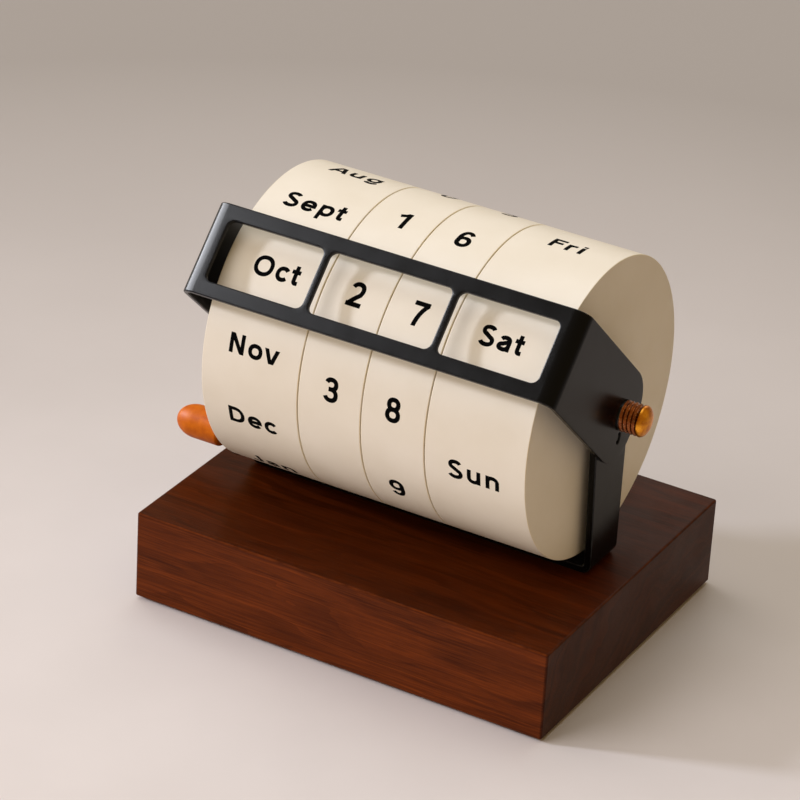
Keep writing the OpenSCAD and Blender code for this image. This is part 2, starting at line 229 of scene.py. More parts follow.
@dataclass(frozen=True)
class Recipe:
    """A reusable node tree with named inputs and outputs."""

    tree: bpy.types.NodeTree
    wiring: Wiring
    inside: bpy.types.Node
    result: bpy.types.Node

    @staticmethod
    def start(
        name: str, kind: str, inputs: dict[str, tuple[str, object]], outputs: dict[str, str],
    ) -> "Recipe":
        """Makes an empty tree with its sockets.

        Args:
            name: name of the tree.
            kind: "ShaderNodeTree" or "GeometryNodeTree".
            inputs: socket type and default value of each input, by name.
            outputs: socket type of each output, by name.

        Returns:
            The recipe, ready to be wired.
        """
        tree = bpy.data.node_groups.new(name, kind)
        for label, (form, default) in inputs.items():
            socket = tree.interface.new_socket(label, in_out="INPUT", socket_type="NodeSocket" + form)
            if default is not None:
                socket.default_value = default
        for label, form in outputs.items():
            tree.interface.new_socket(label, in_out="OUTPUT", socket_type="NodeSocket" + form)
        wiring = Wiring(tree)
        return Recipe(tree, wiring, wiring.put("NodeGroupInput"), wiring.put("NodeGroupOutput"))

    def given(self, name: str) -> Socket:
        """Socket that brings a named input into the tree."""
        return self.inside.outputs[name]

    def give(self, name: str, value: Wire) -> None:
        """Feeds a named output of the tree."""
        self.wiring.feed(self.result.inputs[name], value)


@cache
def cloud_recipe() -> Recipe:
    """Shader group: a value that drifts slowly over the surface.

    Returns:
        The recipe.
    """
    made = Recipe.start(
        "cloudy_tone", "ShaderNodeTree",
        {
            "Vector": ("Vector", None), "Scale": ("Float", 0.1),
            "Low": ("Float", 0.0), "High": ("Float", 1.0),
        },
        {"Value": "Float"},
    )
    drift = made.wiring.noise(made.given("Vector"), made.given("Scale"), detail=4.0)
    made.give("Value", made.wiring.remap(drift, 0.3, 0.7, made.given("Low"), made.given("High")))
    return made


@cache
def grit_recipe() -> Recipe:
    """Shader group: fine unevenness of a surface, as a height in metres.

    Returns:
        The recipe.
    """
    made = Recipe.start(
        "fine_grit", "ShaderNodeTree",
        {"Vector": ("Vector", None), "Scale": ("Float", 4.0), "Depth": ("Float", 0.01)},
        {"Height": "Float"},
    )
    wiring = made.wiring
    coarse = wiring.noise(made.given("Vector"), made.given("Scale"), detail=2.0)
    finer = wiring.math("MULTIPLY", made.given("Scale"), 4.3)
    fine = wiring.noise(made.given("Vector"), finer, detail=2.0)
    rough = wiring.math("MULTIPLY_ADD", fine, 0.4, coarse)
    depth = wiring.math("MULTIPLY", made.given("Depth"), MM)
    made.give("Height", wiring.math("MULTIPLY", rough, depth))
    return made


@cache
def wear_and_glint_recipe() -> Recipe:
    """Shader group: a second colour that shows in patches along eased edges, real wear on enamel and a
    painted highlight on walnut and ivory.

    Returns:
        The recipe.
    """
    made = Recipe.start(
        "edge_wear_and_glint", "ShaderNodeTree",
        {
            "Vector": ("Vector", None), "Edge": ("Float", 0.0), "Colour": ("Color", None),
            "Worn": ("Color", None), "Amount": ("Float", 0.5), "Scale": ("Float", 0.6),
        },
        {"Colour": "Color"},
    )
    wiring = made.wiring
    patches = wiring.remap(wiring.noise(made.given("Vector"), made.given("Scale"), detail=4.0), 0.25, 0.6)
    at_edge = wiring.math("MULTIPLY", patches, made.given("Edge"))
    mask = wiring.math("MULTIPLY", at_edge, made.given("Amount"))
    made.give("Colour", wiring.mix(mask, made.given("Colour"), made.given("Worn")))
    return made


@cache
def turning_recipe() -> Recipe:
    """Shader group: a lathe tool's fine rings about an axis along X, as a height in metres.

    Returns:
        The recipe.
    """
    made = Recipe.start(
        "turning_marks", "ShaderNodeTree",
        {
            "Vector": ("Vector", None), "Axis": ("Vector", None),
            "Scale": ("Float", 6.0), "Depth": ("Float", 0.004),
        },
        {"Height": "Float"},
    )
    wiring = made.wiring
    x, y, z = wiring.split(wiring.vector("SUBTRACT", made.given("Vector"), made.given("Axis")))
    marks = wiring.noise(wiring.join(x, wiring.hypot(y, z), 0.0), made.given("Scale"), detail=3.0)
    made.give("Height", wiring.math("MULTIPLY", marks, wiring.math("MULTIPLY", made.given("Depth"), MM)))
    return made


# ---- Finishes ----


class Palette:
    """One material under construction: its wiring, its shader and its coordinates in millimetres."""

    def __init__(self, material: bpy.types.Material) -> None:
        """Starts from the material's Principled shader.

        Args:
            material: a material that uses nodes.
        """
        self.wiring = Wiring(material.node_tree)
        self.shader = next(n for n in material.node_tree.nodes if n.type == "BSDF_PRINCIPLED")
        place = self.wiring.put("ShaderNodeTexCoord").outputs["Object"]
        self.vector = self.wiring.scale(place, 1 / MM)

    def use(self, recipe: Recipe, **feeds: Wire) -> bpy.types.Node:
        """Places a shared shader group and feeds it, the coordinates included.

        Args:
            recipe: the shader group.
            feeds: values or sockets, by the input's name.

        Returns:
            The group node.
        """
        node = self.wiring.put("ShaderNodeGroup", node_tree=recipe.tree)
        for name, value in {"Vector": self.vector, **feeds}.items():
            self.wiring.feed(node.inputs[name], value)
        return node

    def stretched(self, factors: Place) -> Socket:
        """The coordinates, scaled along each axis."""
        return self.wiring.vector("MULTIPLY", self.vector, factors)

    def cloud(self, scale: float, low: float = 0.0, high: float = 1.0) -> Socket:
        """A value that drifts slowly between two values."""
        return self.use(cloud_recipe(), Scale=scale, Low=low, High=high).outputs["Value"]

    def colour(self, value: Wire) -> None:
        """Sets the base colour."""
        self.wiring.feed(self.shader.inputs["Base Color"], value)

    def wear_and_glint_colour(self, tone: Wire, worn: Colour, amount: float, scale: float) -> None:
        """Sets a base colour that gives way to a second one in patches along eased edges: real wear on
        enamel, a painted highlight on walnut and ivory.

        Args:
            tone: colour away from the patches.
            worn: colour of the patches, worn paint on enamel and a painted highlight on walnut and ivory.
            amount: how strongly they show.
            scale: how fine they are.
        """
        edge = self.wiring.put("ShaderNodeAttribute", attribute_name=EDGE).outputs["Fac"]
        edge_patches = self.use(
            wear_and_glint_recipe(), Edge=edge, Colour=tone, Worn=worn, Amount=amount, Scale=scale,
        )
        self.colour(edge_patches.outputs["Colour"])

    def roughness(self, value: Wire) -> None:
        """Sets the roughness."""
        self.wiring.feed(self.shader.inputs["Roughness"], value)

    def relief(self, height: Socket) -> None:
        """Sets the fine relief, from a height in metres."""
        bump = self.wiring.out("ShaderNodeBump", {"Height": height, "Distance": 1.0, "Strength": 1.0})
        self.wiring.feed(self.shader.inputs["Normal"], bump)

    def grit(self, scale: float, depth: float) -> None:
        """Sets the relief to fine unevenness, its depth in millimetres."""
        self.relief(self.use(grit_recipe(), Scale=scale, Depth=depth).outputs["Height"])

    def even(self, **values: float) -> None:
        """Sets shader values that are the same all over, by the socket's name with underscores."""
        for name, value in values.items():
            self.shader.inputs[name.replace("_", " ")].default_value = value


@dataclass(frozen=True)
class Finish:
    """A surface finish, made into a material on first use."""

    name: str
    slot: str

    def material(self) -> bpy.types.Material:
        """The finish's one material.

        Returns:
            The material, made only once.
        """
        made = bpy.data.materials.get(self.name)
        if made is None:
            made = bpy.data.materials.new(self.name)
            made.use_nodes = True
            self.paint(Palette(made))
        return made

    def paint(self, palette: Palette) -> None:
        """Wires the material; each kind of finish has its own way."""
        raise NotImplementedError


@dataclass(frozen=True)
class Walnut(Finish):
    """Stained walnut, satin varnished, with its grain along X."""

    dark: Colour = srgb(58, 21, 3)
    middle: Colour = srgb(110, 47, 11)
    light: Colour = srgb(138, 64, 17)
    # Painted shade: the top face and both ends are multiplied darker; on the ends it is also a cool
    # painted reflection.
    top_shade: Colour = srgb(196, 184, 150)
    top_shade_from: float = 30.8
    top_shade_all: float = 31.8
    end_shade: Colour = srgb(188, 204, 224)
    end_shade_from: float = 74.2
    end_shade_all: float = 74.9
    pith: Place = (0.0, 46.0, -70.0)
    ring_pitch: float = 5.2
    warp_scale: Place = (0.012, 0.05, 0.05)
    warp_reach: float = 26.0
    late_wood_power: float = 2.4
    late_wood_share: float = 0.42
    fibre_scale: Place = (0.05, 2.2, 2.2)
    streak_along: float = 0.018
    streak_across: float = 0.32
    pore_scale: Place = (0.16, 5.0, 5.0)
    pore_share: float = 0.55
    ridge: float = 0.012

    def paint(self, palette: Palette) -> None:
        """Growth rings about a far pith line, fibres, pores, painted shade on the top and ends, and a
        painted highlight along eased edges.

        Args:
            palette: the material to wire.
        """
        wiring = palette.wiring
        warp = wiring.noise(palette.stretched(self.warp_scale), 1.0, detail=3.0)
        x, y, z = wiring.split(wiring.vector("SUBTRACT", palette.vector, self.pith))
        wander = wiring.math("MULTIPLY_ADD", warp, self.warp_reach, wiring.hypot(y, z))
        phase = wiring.math("FRACT", wiring.math("DIVIDE", wander, self.ring_pitch))
        late_wood = wiring.math("POWER", phase, self.late_wood_power)
        fibre = wiring.noise(palette.stretched(self.fibre_scale), 1.0, detail=4.0)
        along_streak = wiring.math("MULTIPLY", x, self.streak_along)
        across_streak = wiring.math("MULTIPLY", wander, self.streak_across)
        streak = wiring.noise(wiring.join(along_streak, across_streak, 0.0), 1.0, detail=3.0)
        spots = wiring.noise(palette.stretched(self.pore_scale), 1.0, detail=1.0)
        pore = wiring.remap(spots, 0.62, 0.72)
        tone = wiring.mix(wiring.remap(streak, 0.3, 0.7, 0.1, 0.75), self.dark, self.middle)
        tone = wiring.mix(wiring.remap(fibre, 0.42, 0.75, 0.0, 0.42), tone, self.light)
        for share, amount in ((late_wood, self.late_wood_share), (pore, self.pore_share)):
            tone = wiring.mix(wiring.math("MULTIPLY", share, amount), tone, self.dark)
        along, _, height = wiring.split(palette.vector)
        # Painted shade on the top face above a height, and on both ends past a place along X, where it is
        # also a cool painted reflection.
        top = wiring.remap(height, self.top_shade_from, self.top_shade_all)
        end = wiring.remap(wiring.math("ABSOLUTE", along), self.end_shade_from, self.end_shade_all)
        tone = wiring.mix(top, tone, self.top_shade, "MULTIPLY")
        tone = wiring.mix(end, tone, self.end_shade, "MULTIPLY")
        # The lighter patches along eased edges are a painted highlight.
        palette.wear_and_glint_colour(tone, self.light, amount=0.3, scale=0.25)
        palette.roughness(palette.cloud(0.05, low=0.3, high=0.42))
        furrow = wiring.math("SUBTRACT", fibre, pore)
        palette.relief(wiring.math("MULTIPLY", furrow, self.ridge * MM))
        palette.even(Specular_IOR_Level=0.08)


@dataclass(frozen=True)
class Felt(Finish):
    """Short dense felt."""

    tone: Colour = srgb(44, 40, 38)
    fleck: Colour = srgb(78, 72, 68)

    def paint(self, palette: Palette) -> None:
        """Matted fibres, flecked and soft.

        Args:
            palette: the material to wire.
        """
        wiring = palette.wiring
        mat = wiring.noise(palette.vector, 3.5, detail=6.0)
        palette.colour(wiring.mix(wiring.remap(mat, 0.4, 0.7), self.tone, self.fleck))
        palette.roughness(wiring.remap(mat, 0.3, 0.7, 0.85, 1.0))
        palette.grit(scale=3.0, depth=0.25)
        palette.even(Sheen_Weight=0.4, Sheen_Roughness=0.6)


@dataclass(frozen=True)
class Enamel(Finish):
    """Thin baked paint on metal, or printed ink."""

    tone: Colour
    rubbed: Colour
    edge_patches: float = 0.2
    gloss: tuple[float, float] = (0.2, 0.26)
    peel: float = 0.003
    shine: float = 0.13

    def paint(self, palette: Palette) -> None:
        """Slight orange peel, smudges and edges rubbed brighter.

        Args:
            palette: the material to wire.
        """
        palette.roughness(palette.cloud(0.12, *self.gloss))
        palette.wear_and_glint_colour(self.tone, self.rubbed, self.edge_patches, scale=0.5)
        palette.grit(scale=1.6, depth=self.peel)
        palette.even(Specular_IOR_Level=self.shine)


@dataclass(frozen=True)
class Ivory(Finish):
    """Cast ivory-coloured resin with a painted warm highlight along the rim edges."""

    tone: Colour = srgb(234, 224, 206)
    shade: Colour = srgb(228, 217, 197)
    # Painted warm highlight for the eased rim edges.
    edge_glint: Colour = srgb(230, 210, 160)

    def paint(self, palette: Palette) -> None:
        """Soft clouds of tone and a faint satin grain.

        Args:
            palette: the material to wire.
        """
        tone = palette.wiring.mix(palette.cloud(0.045), self.tone, self.shade)
        # Warm patches along the eased rim edges are a painted highlight.
        palette.wear_and_glint_colour(tone, self.edge_glint, amount=0.6, scale=0.08)
        palette.roughness(palette.cloud(0.2, low=0.42, high=0.54))
        palette.grit(scale=2.5, depth=0.003)
        palette.even(Coat_Weight=0.12, Coat_Roughness=0.35, Specular_IOR_Level=0.45)


@dataclass(frozen=True)
class Lacquer(Finish):
    """Tinted lacquer over bright metal, uneven in depth, with painted glints."""

    thin: Colour
    deep: Colour
    painted_glint: Colour
    painted_glint_share: float
    metal: float
    gloss: tuple[float, float]
    coat: float
    dents: float
    shine: float = 0.5

    def paint(self, palette: Palette) -> None:
        """Pools of deeper tint, with bright grains of painted glint.

        Args:
            palette: the material to wire.
        """
        wiring = palette.wiring
        tone = wiring.mix(palette.cloud(0.35), self.thin, self.deep)
        # Painted glints: bright spots of a light colour mixed into the tint.
        glint_spots = wiring.remap(wiring.noise(palette.vector, 2.6, detail=2.0), 0.6, 0.7)
        share = wiring.math("MULTIPLY", glint_spots, self.painted_glint_share)
        palette.colour(wiring.mix(share, tone, self.painted_glint))
        palette.roughness(palette.cloud(0.8, *self.gloss))
        palette.grit(scale=1.8, depth=self.dents)
        palette.even(Metallic=self.metal, Specular_IOR_Level=self.shine)
        palette.even(Coat_Weight=self.coat, Coat_Roughness=0.12)


@dataclass(frozen=True)
class TurnedMetal(Finish):
    """Bare metal turned about an axis along X."""

    tone: Colour
    dull: Colour
    axis: Place

    def paint(self, palette: Palette) -> None:
        """Lathe rings and faint tarnish.

        Args:
            palette: the material to wire.
        """
        tarnish = palette.cloud(0.3, high=0.8)
        palette.colour(palette.wiring.mix(tarnish, self.tone, self.dull))
        palette.roughness(palette.cloud(0.5, low=0.24, high=0.4))
        marks = palette.use(turning_recipe(), Axis=self.axis, Scale=5.0, Depth=0.006)
        palette.relief(marks.outputs["Height"])
        palette.even(Metallic=1.0)


@dataclass(frozen=True)
class Nylon(Finish):
    """Natural nylon of bushes and pads."""

    tone: Colour = srgb(222, 218, 205)
    stained: Colour = srgb(196, 188, 168)

    def paint(self, palette: Palette) -> None:
        """Waxy, with a little grime.

        Args:
            palette: the material to wire.
        """
        grime = palette.cloud(0.4, high=0.7)
        palette.colour(palette.wiring.mix(grime, self.tone, self.stained))
        palette.roughness(palette.cloud(0.6, low=0.4, high=0.55))
        palette.grit(scale=3.0, depth=0.006)
        palette.even(Subsurface_Weight=0.1, Subsurface_Scale=0.002)


@dataclass(frozen=True)
class TableTop(Finish):
    """Pale painted surface that the calendar stands on."""

    tone: Colour = srgb(222, 213, 208)
    shade: Colour = srgb(214, 205, 200)
    # Painted shade: the colour the floor darkens to away from the calendar.
    far: Colour = srgb(158, 150, 143)
    middle: Place = (60.0, -160.0, 0.0)
    near_r: float = 150.0
    far_r: float = 600.0

    def paint(self, palette: Palette) -> None:
        """Almost even and satin, with painted shade that darkens it away from the calendar.

        Args:
            palette: the material to wire.
        """
        wiring = palette.wiring
        tone = wiring.mix(palette.cloud(0.01), self.tone, self.shade)
        # Painted shade: a falloff of light, darker with distance from a point near the calendar.
        distance = wiring.length(wiring.vector("SUBTRACT", palette.vector, self.middle))
        palette.colour(wiring.mix(wiring.remap(distance, self.near_r, self.far_r), tone, self.far))
        palette.even(Roughness=0.55, Specular_IOR_Level=0.3)


# ---- Outlines and solids ----


def rounded(corners: list[Corner], steps: int = 6, closed: bool = True) -> list[BentPoint]:
    """Outline with round corners.

    Args:
        corners: x, y and radius of each corner, in order.
        steps: sides that stand for each round corner.
        closed: whether the last corner joins the first.

    Returns:
        The outline's points, each with 0 on a straight and up to 1 in the middle of a corner.
    """
    outline: list[BentPoint] = []
    count = len(corners)
    for i, (x, y, radius) in enumerate(corners):
        if radius <= 0 or (not closed and i in (0, count - 1)):
            outline.append((x, y, 0.0))
            continue
        here = Vector((x, y))
        back = (Vector(corners[i - 1][:2]) - here).normalized()
        ahead = (Vector(corners[(i + 1) % count][:2]) - here).normalized()
        half = back.angle(ahead) / 2
        centre = here + (back + ahead).normalized() * radius / math.sin(half)
        first = here + back * radius / math.tan(half) - centre
        last = here + ahead * radius / math.tan(half) - centre
        turn = math.pi - 2 * half
        for k in range(steps + 1):
            share = k / steps
            spoke = first * math.sin((1 - share) * turn) + last * math.sin(share * turn)
            outline.append((*(centre + spoke / math.sin(turn)), math.sin(share * math.pi)))
    return outline


def arc(x: float, y: float, radius: float, start: float, end: float, steps: int) -> list[BentPoint]:
    """Points of a round arc, from start to end in degrees."""
    angles = [math.radians(start + (end - start) * k / steps) for k in range(steps + 1)]
    return [(x + radius * math.cos(a), y + radius * math.sin(a), 0.0) for a in angles]


def round_hole(x: float, y: float, radius: float, steps: int = 32) -> list[BentPoint]:
    """A round hole's outline, clockwise."""
    return arc(x, y, radius, 360, 0, steps)[:-1]


def inset(loop: list[BentPoint], distance: float) -> list[Point]:
    """The loop moved to its left by a distance, with mitred corners.

    Args:
        loop: a closed outline.
        distance: how far it moves.

    Returns:
        The moved outline's points.
    """
    moved = []
    for i, (x, y, _) in enumerate(loop):
        here = Vector((x, y))
        before = (here - Vector(loop[i - 1][:2])).normalized()
        after = (Vector(loop[(i + 1) % len(loop)][:2]) - here).normalized()
        left = Vector((-before.y, before.x)) + Vector((-after.y, after.x))
        moved.append(tuple(here + left * 2 * distance / left.length_squared))
    return moved


def plate(outline: list[BentPoint], holes: list[list[BentPoint]], low: float, high: float,
          easing: float, steps: int = 3) -> Shape:
    """Flat solid with all its edges eased by quarter rounds.

    Args:
        outline: outer outline, counter-clockwise.
        holes: outlines of the holes, clockwise.
        low: height of the lower face.
        high: height of the upper face.
        easing: radius of the eased edges.
        steps: sides that stand for each quarter round.

    Returns:
        The solid, with the EDGE attribute on its vertices.
    """
    solid = bmesh.new()
    worn = solid.verts.layers.float.new(EDGE)
    turns = [math.pi / 2 * k / steps for k in range(steps + 1)]
    rise = [(easing * (1 - math.cos(a)), easing * (1 - math.sin(a)), math.sin(2 * a)) for a in turns]
    levels = [(low + up, into, edge) for up, into, edge in rise]
    levels += [(high - up, into, edge) for up, into, edge in reversed(rise)]
    rows: list[list[list[bmesh.types.BMVert]]] = []
    for height, into, edge in levels:
        row = []
        for loop in (outline, *holes):
            row.append([solid.verts.new((x, y, height)) for x, y in inset(loop, into)])
            for vertex in row[-1]:
                vertex[worn] = edge
        rows.append(row)
    for lower, upper in zip(rows, rows[1:]):
        for below, above in zip(lower, upper):
            for k in range(len(below)):
                solid.faces.new((below[k - 1], below[k], above[k], above[k - 1]))
    for row, upside_down in ((rows[0], True), (rows[-1], False)):
        flat = [vertex for loop in row for vertex in loop]
        rings = []
        for k, loop in enumerate(row):
            places = list(range(sum(map(len, row[:k])), sum(map(len, row[:k + 1]))))
            rings.append(places if k == 0 else places[::-1])
        _, _, triangles, sources, _, covers = delaunay_2d_cdt(
            [vertex.co.xy for vertex in flat], [], rings, 1, TOUCH,
        )
        for triangle, covered in zip(triangles, covers):
            if covered == [0]:
                corners = [flat[sources[k][0]] for k in triangle]
                solid.faces.new(corners[::-1] if upside_down else corners)
    return solid


def cut_across(solid: Shape, axis: int, places: list[float]) -> None:
    """Cuts the solid's faces where they cross planes square to an axis, so that it can bend there.

    Args:
        solid: the solid.
        axis: 0, 1 or 2 for X, Y or Z.
        places: where the planes cross the axis.
    """
    normal = [float(k == axis) for k in range(3)]
    for place in places:
        everything = solid.verts[:] + solid.edges[:] + solid.faces[:]
        bmesh.ops.bisect_plane(
            solid, geom=everything, dist=CUT_REACH,
            plane_co=[place * part for part in normal], plane_no=normal,
        )


def profile(points: list[BentPoint], closed: bool) -> Shape:
    """Wire of a turned part's half section, for the lathe tree.

    Args:
        points: place along the axis, radius and corner share of each point.
        closed: whether the section is a closed loop; an open one starts and ends on the axis.

    Returns:
        The wire.
    """
    wire = bmesh.new()
    worn = wire.verts.layers.float.new(EDGE)
    row = [wire.verts.new((radius - LATHE_RAIL, along, 0.0)) for along, radius, _ in points]
    for vertex, (_, _, edge) in zip(row, points):
        vertex[worn] = edge
    for k in range(0 if closed else 1, len(row)):
        wire.edges.new((row[k - 1], row[k]))
    return wire


def block(low: Place, high: Place) -> Shape:
    """Box with plain edges, between two corners.

    Args:
        low: lowest corner.
        high: highest corner.

    Returns:
        The box.
    """
    solid = bmesh.new()
    bmesh.ops.create_cube(solid, size=1.0)
    for vertex in solid.verts:
        vertex.co = [(a + b) / 2 + (b - a) * part for a, b, part in zip(low, high, vertex.co)]
    return solid


def new_object(name: str, shape: Shape) -> Object:
    """Object of a shape, in millimetres; the shape is freed.

    Args:
        name: name of the object and its mesh.
        shape: its shape.

    Returns:
        The object, in the scene.
    """
    mesh = bpy.data.meshes.new(name)
    shape.to_mesh(mesh)
    shape.free()
    made = bpy.data.objects.new(name, mesh)
    bpy.context.scene.collection.objects.link(made)
    return made


def bake(piece: Object) -> None:
    """Turns the piece's modifiers into a plain mesh.

    Args:
        piece: object with modifiers.
    """
    graph = bpy.context.evaluated_depsgraph_get()
    plain = bpy.data.meshes.new_from_object(
        piece.evaluated_get(graph), preserve_all_data_layers=True, depsgraph=graph,
    )
    piece.modifiers.clear()
    raw = piece.data
    piece.data = plain
    bpy.data.meshes.remove(raw)
    plain.name = piece.name


def run_tree(piece: Object, recipe: Recipe, finish: Finish, **inputs: object) -> None:
    """Runs a Geometry Nodes tree on the piece and bakes the result.

    Args:
        piece: object that the tree works on.
        recipe: the tree.
        finish: finish whose material the tree sets.
        inputs: values of the tree's named inputs, with underscores for spaces.
    """
    modifier = piece.modifiers.new(recipe.tree.name, "NODES")
    modifier.node_group = recipe.tree
    values = {name.replace("_", " "): value for name, value in inputs.items()}
    values["Material"] = finish.material()
    for item in recipe.tree.interface.items_tree:
        if item.in_out == "INPUT" and item.name in values:
            modifier[item.identifier] = values.pop(item.name)
    if values:
        raise ValueError(f"{recipe.tree.name} has no input named {sorted(values)}")
    bake(piece)


def absorb(piece: Object, *others: Object) -> None:
    """Joins other objects' meshes to the piece and removes them.

    Args:
        piece: object that takes them in.
        others: objects to be joined to it.
    """
    whole = bmesh.new()
    whole.from_mesh(piece.data)
    for other in others:
        whole.from_mesh(other.data)
        bpy.data.objects.remove(other)
    whole.to_mesh(piece.data)
    whole.free()


def hollow_out(piece: Object, *cutters: Object) -> None:
    """Cuts other closed objects out of the piece and removes them.

    Args:
        piece: object to be cut.
        cutters: closed objects.
    """
    for cutter in cutters:
        modifier = piece.modifiers.new("cut", "BOOLEAN")
        modifier.operation = "DIFFERENCE"
        modifier.solver = "EXACT"
        modifier.object = cutter
        bake(piece)
        bpy.data.objects.remove(cutter)


def complete(
    piece: Object, finish: Finish, body: Body, *nodes: str, sharp: float = 38.0,
) -> Object:
    """Welds, shades, scales and enters a finished piece.

    Args:
        piece: object in millimetres, in its place.
        finish: finish that it wears.
        body: body that it moves with.
        nodes: CAD nodes that it stands for.
        sharp: angle in degrees above which an edge stays sharp.

    Returns:
        The piece, in metres.
    """
    shape = bmesh.new()
    shape.from_mesh(piece.data)
    bmesh.ops.remove_doubles(shape, verts=shape.verts, dist=WELD)
    bmesh.ops.dissolve_degenerate(shape, edges=shape.edges, dist=WELD)
    bmesh.ops.recalc_face_normals(shape, faces=shape.faces)
    bmesh.ops.scale(shape, vec=(MM, MM, MM), verts=shape.verts)
    shape.to_mesh(piece.data)
    shape.free()
    if not piece.data.materials:
        piece.data.materials.append(finish.material())
    piece.data.shade_smooth()
    piece.data.set_sharp_from_angle(angle=math.radians(sharp))
    modifier = piece.modifiers.new("even_normals", "WEIGHTED_NORMAL")
    modifier.keep_sharp = True
    bake(piece)
    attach(piece, body.value)
    if nodes:
        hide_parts(*nodes)
    log.info("%s: %d faces, on %s", piece.name, len(piece.data.polygons), body.value)
    return piece


def carry_over(node: str, finish: Finish) -> None:
    """Keeps a CAD node and gives it a better material.

    Args:
        node: the CAD node.
        finish: finish that it wears.
    """
    kept = frame["nodes"][node]
    kept.data.materials.clear()
    kept.data.materials.append(finish.material())
    log.info("%s: CAD node kept", node)


# ---- Geometry Nodes trees ----

GEOMETRY = {"Geometry": ("Geometry", None), "Material": ("Material", None)}


def close_tree(made: Recipe, geometry: Socket) -> Recipe:
    """Ends a geometry tree in Realize Instances and Set Material.

    Args:
        made: the unfinished recipe.
        geometry: what it has made.

    Returns:
        The finished recipe.
    """
    plain = made.wiring.out("GeometryNodeRealizeInstances", {"Geometry": geometry})
    feeds = {"Geometry": plain, "Material": made.given("Material")}
    made.give("Geometry", made.wiring.out("GeometryNodeSetMaterial", feeds))
    return made


@cache
def lathe_tree() -> Recipe:
    """Turns a half section about an axis along X, and cuts a thread into its outer side.

    Returns:
        The recipe.
    """
    made = Recipe.start(
        "turned_part", "GeometryNodeTree",
        {
            **GEOMETRY, "Sides": ("Int", 96), "Axis Y": ("Float", 0.0), "Axis Z": ("Float", 0.0),
            "Pitch": ("Float", 1.0), "Depth": ("Float", 0.0), "Start": ("Float", 0.0),
            "End": ("Float", 1.0), "Run Out": ("Float", 0.5), "Sharpness": ("Float", 1.0),
            "Least Radius": ("Float", 0.0),
        },
        {"Geometry": "Geometry"},
    )
    wiring = made.wiring
    section = wiring.out("GeometryNodeMeshToCurve", {"Mesh": made.given("Geometry")})
    circle = {"Radius": LATHE_RAIL, "Resolution": made.given("Sides")}
    rail = wiring.out("GeometryNodeCurvePrimitiveCircle", circle)
    swept = wiring.out("GeometryNodeCurveToMesh", {"Curve": rail, "Profile Curve": section})
    upright = {"Geometry": swept, "Rotation": (0.0, -math.pi / 2, 0.0)}
    laid = wiring.out("GeometryNodeTransform", upright)
    welded = wiring.out("GeometryNodeMergeByDistance", {"Geometry": laid, "Distance": WELD})
    x, y, z = wiring.split(wiring.out("GeometryNodeInputPosition"))
    spoke = wiring.join(0.0, y, z)
    turn = wiring.math("DIVIDE", wiring.math("ARCTAN2", z, y), math.tau)
    phase = wiring.math("SUBTRACT", wiring.math("DIVIDE", x, made.given("Pitch")), turn)
    wave = wiring.math("ABSOLUTE", wiring.math("COSINE", wiring.math("MULTIPLY", phase, math.pi)))
    groove = wiring.math("POWER", wave, made.given("Sharpness"))
    from_start = wiring.math("SUBTRACT", x, made.given("Start"))
    to_end = wiring.math("SUBTRACT", made.given("End"), x)
    runs = [wiring.math("DIVIDE", part, made.given("Run Out")) for part in (from_start, to_end)]
    fade = wiring.remap(wiring.math("MINIMUM", *runs), 0.0, 1.0)
    outside = wiring.math("GREATER_THAN", wiring.length(spoke), made.given("Least Radius"))
    inwards = wiring.math("MULTIPLY", outside, -1.0)
    push = wiring.math("MULTIPLY", wiring.math("MULTIPLY", groove, fade), inwards)
    reach = wiring.math("MULTIPLY", push, made.given("Depth"))
    offset = wiring.scale(wiring.vector("NORMALIZE", spoke), reach)
    threaded = wiring.out("GeometryNodeSetPosition", {"Geometry": welded, "Offset": offset})
    place = wiring.join(0.0, made.given("Axis Y"), made.given("Axis Z"))
    moved = {"Geometry": threaded, "Translation": place}
    return close_tree(made, wiring.out("GeometryNodeTransform", moved))


@cache
def fold_tree() -> Recipe:
    """Folds both ends of a flat sheet down, then turns the sheet about X and lifts it.

    Returns:
        The recipe.
    """
    made = Recipe.start(
        "folded_sheet", "GeometryNodeTree",
        {
            **GEOMETRY, "Half Flat": ("Float", 50.0), "Bend Radius": ("Float", 5.0),
            "Thickness": ("Float", 2.0), "Tilt": ("Float", 0.0), "Lift": ("Vector", None),
        },
        {"Geometry": "Geometry"},
    )
    wiring = made.wiring
    x, y, z = wiring.split(wiring.out("GeometryNodeInputPosition"))
    half_flat, bend_radius = made.given("Half Flat"), made.given("Bend Radius")
    middle = wiring.math("MULTIPLY_ADD", made.given("Thickness"), -0.5, bend_radius)
    bend_length = wiring.math("MULTIPLY", middle, math.pi / 2)
    past = wiring.math("SUBTRACT", wiring.math("ABSOLUTE", x), half_flat)
    curled = wiring.math("MINIMUM", wiring.math("MAXIMUM", past, 0.0), bend_length)
    angle = wiring.math("DIVIDE", curled, middle)
    hanging = wiring.math("MAXIMUM", wiring.math("SUBTRACT", past, bend_length), 0.0)
    layer = wiring.math("ADD", bend_radius, z)
    flat = wiring.math("MINIMUM", wiring.math("ABSOLUTE", x), half_flat)
    reach = wiring.math("MULTIPLY", layer, wiring.math("SINE", angle))
    across = wiring.math("MULTIPLY", wiring.math("ADD", flat, reach), wiring.math("SIGN", x))
    rise = wiring.math("MULTIPLY", layer, wiring.math("COSINE", angle))
    height = wiring.math("SUBTRACT", wiring.math("SUBTRACT", rise, hanging), bend_radius)
    feeds = {"Geometry": made.given("Geometry"), "Position": wiring.join(across, y, height)}
    bent = wiring.out("GeometryNodeSetPosition", feeds)
    tilt = wiring.join(made.given("Tilt"), 0.0, 0.0)
    feeds = {"Geometry": bent, "Rotation": tilt, "Translation": made.given("Lift")}
    return close_tree(made, wiring.out("GeometryNodeTransform", feeds))


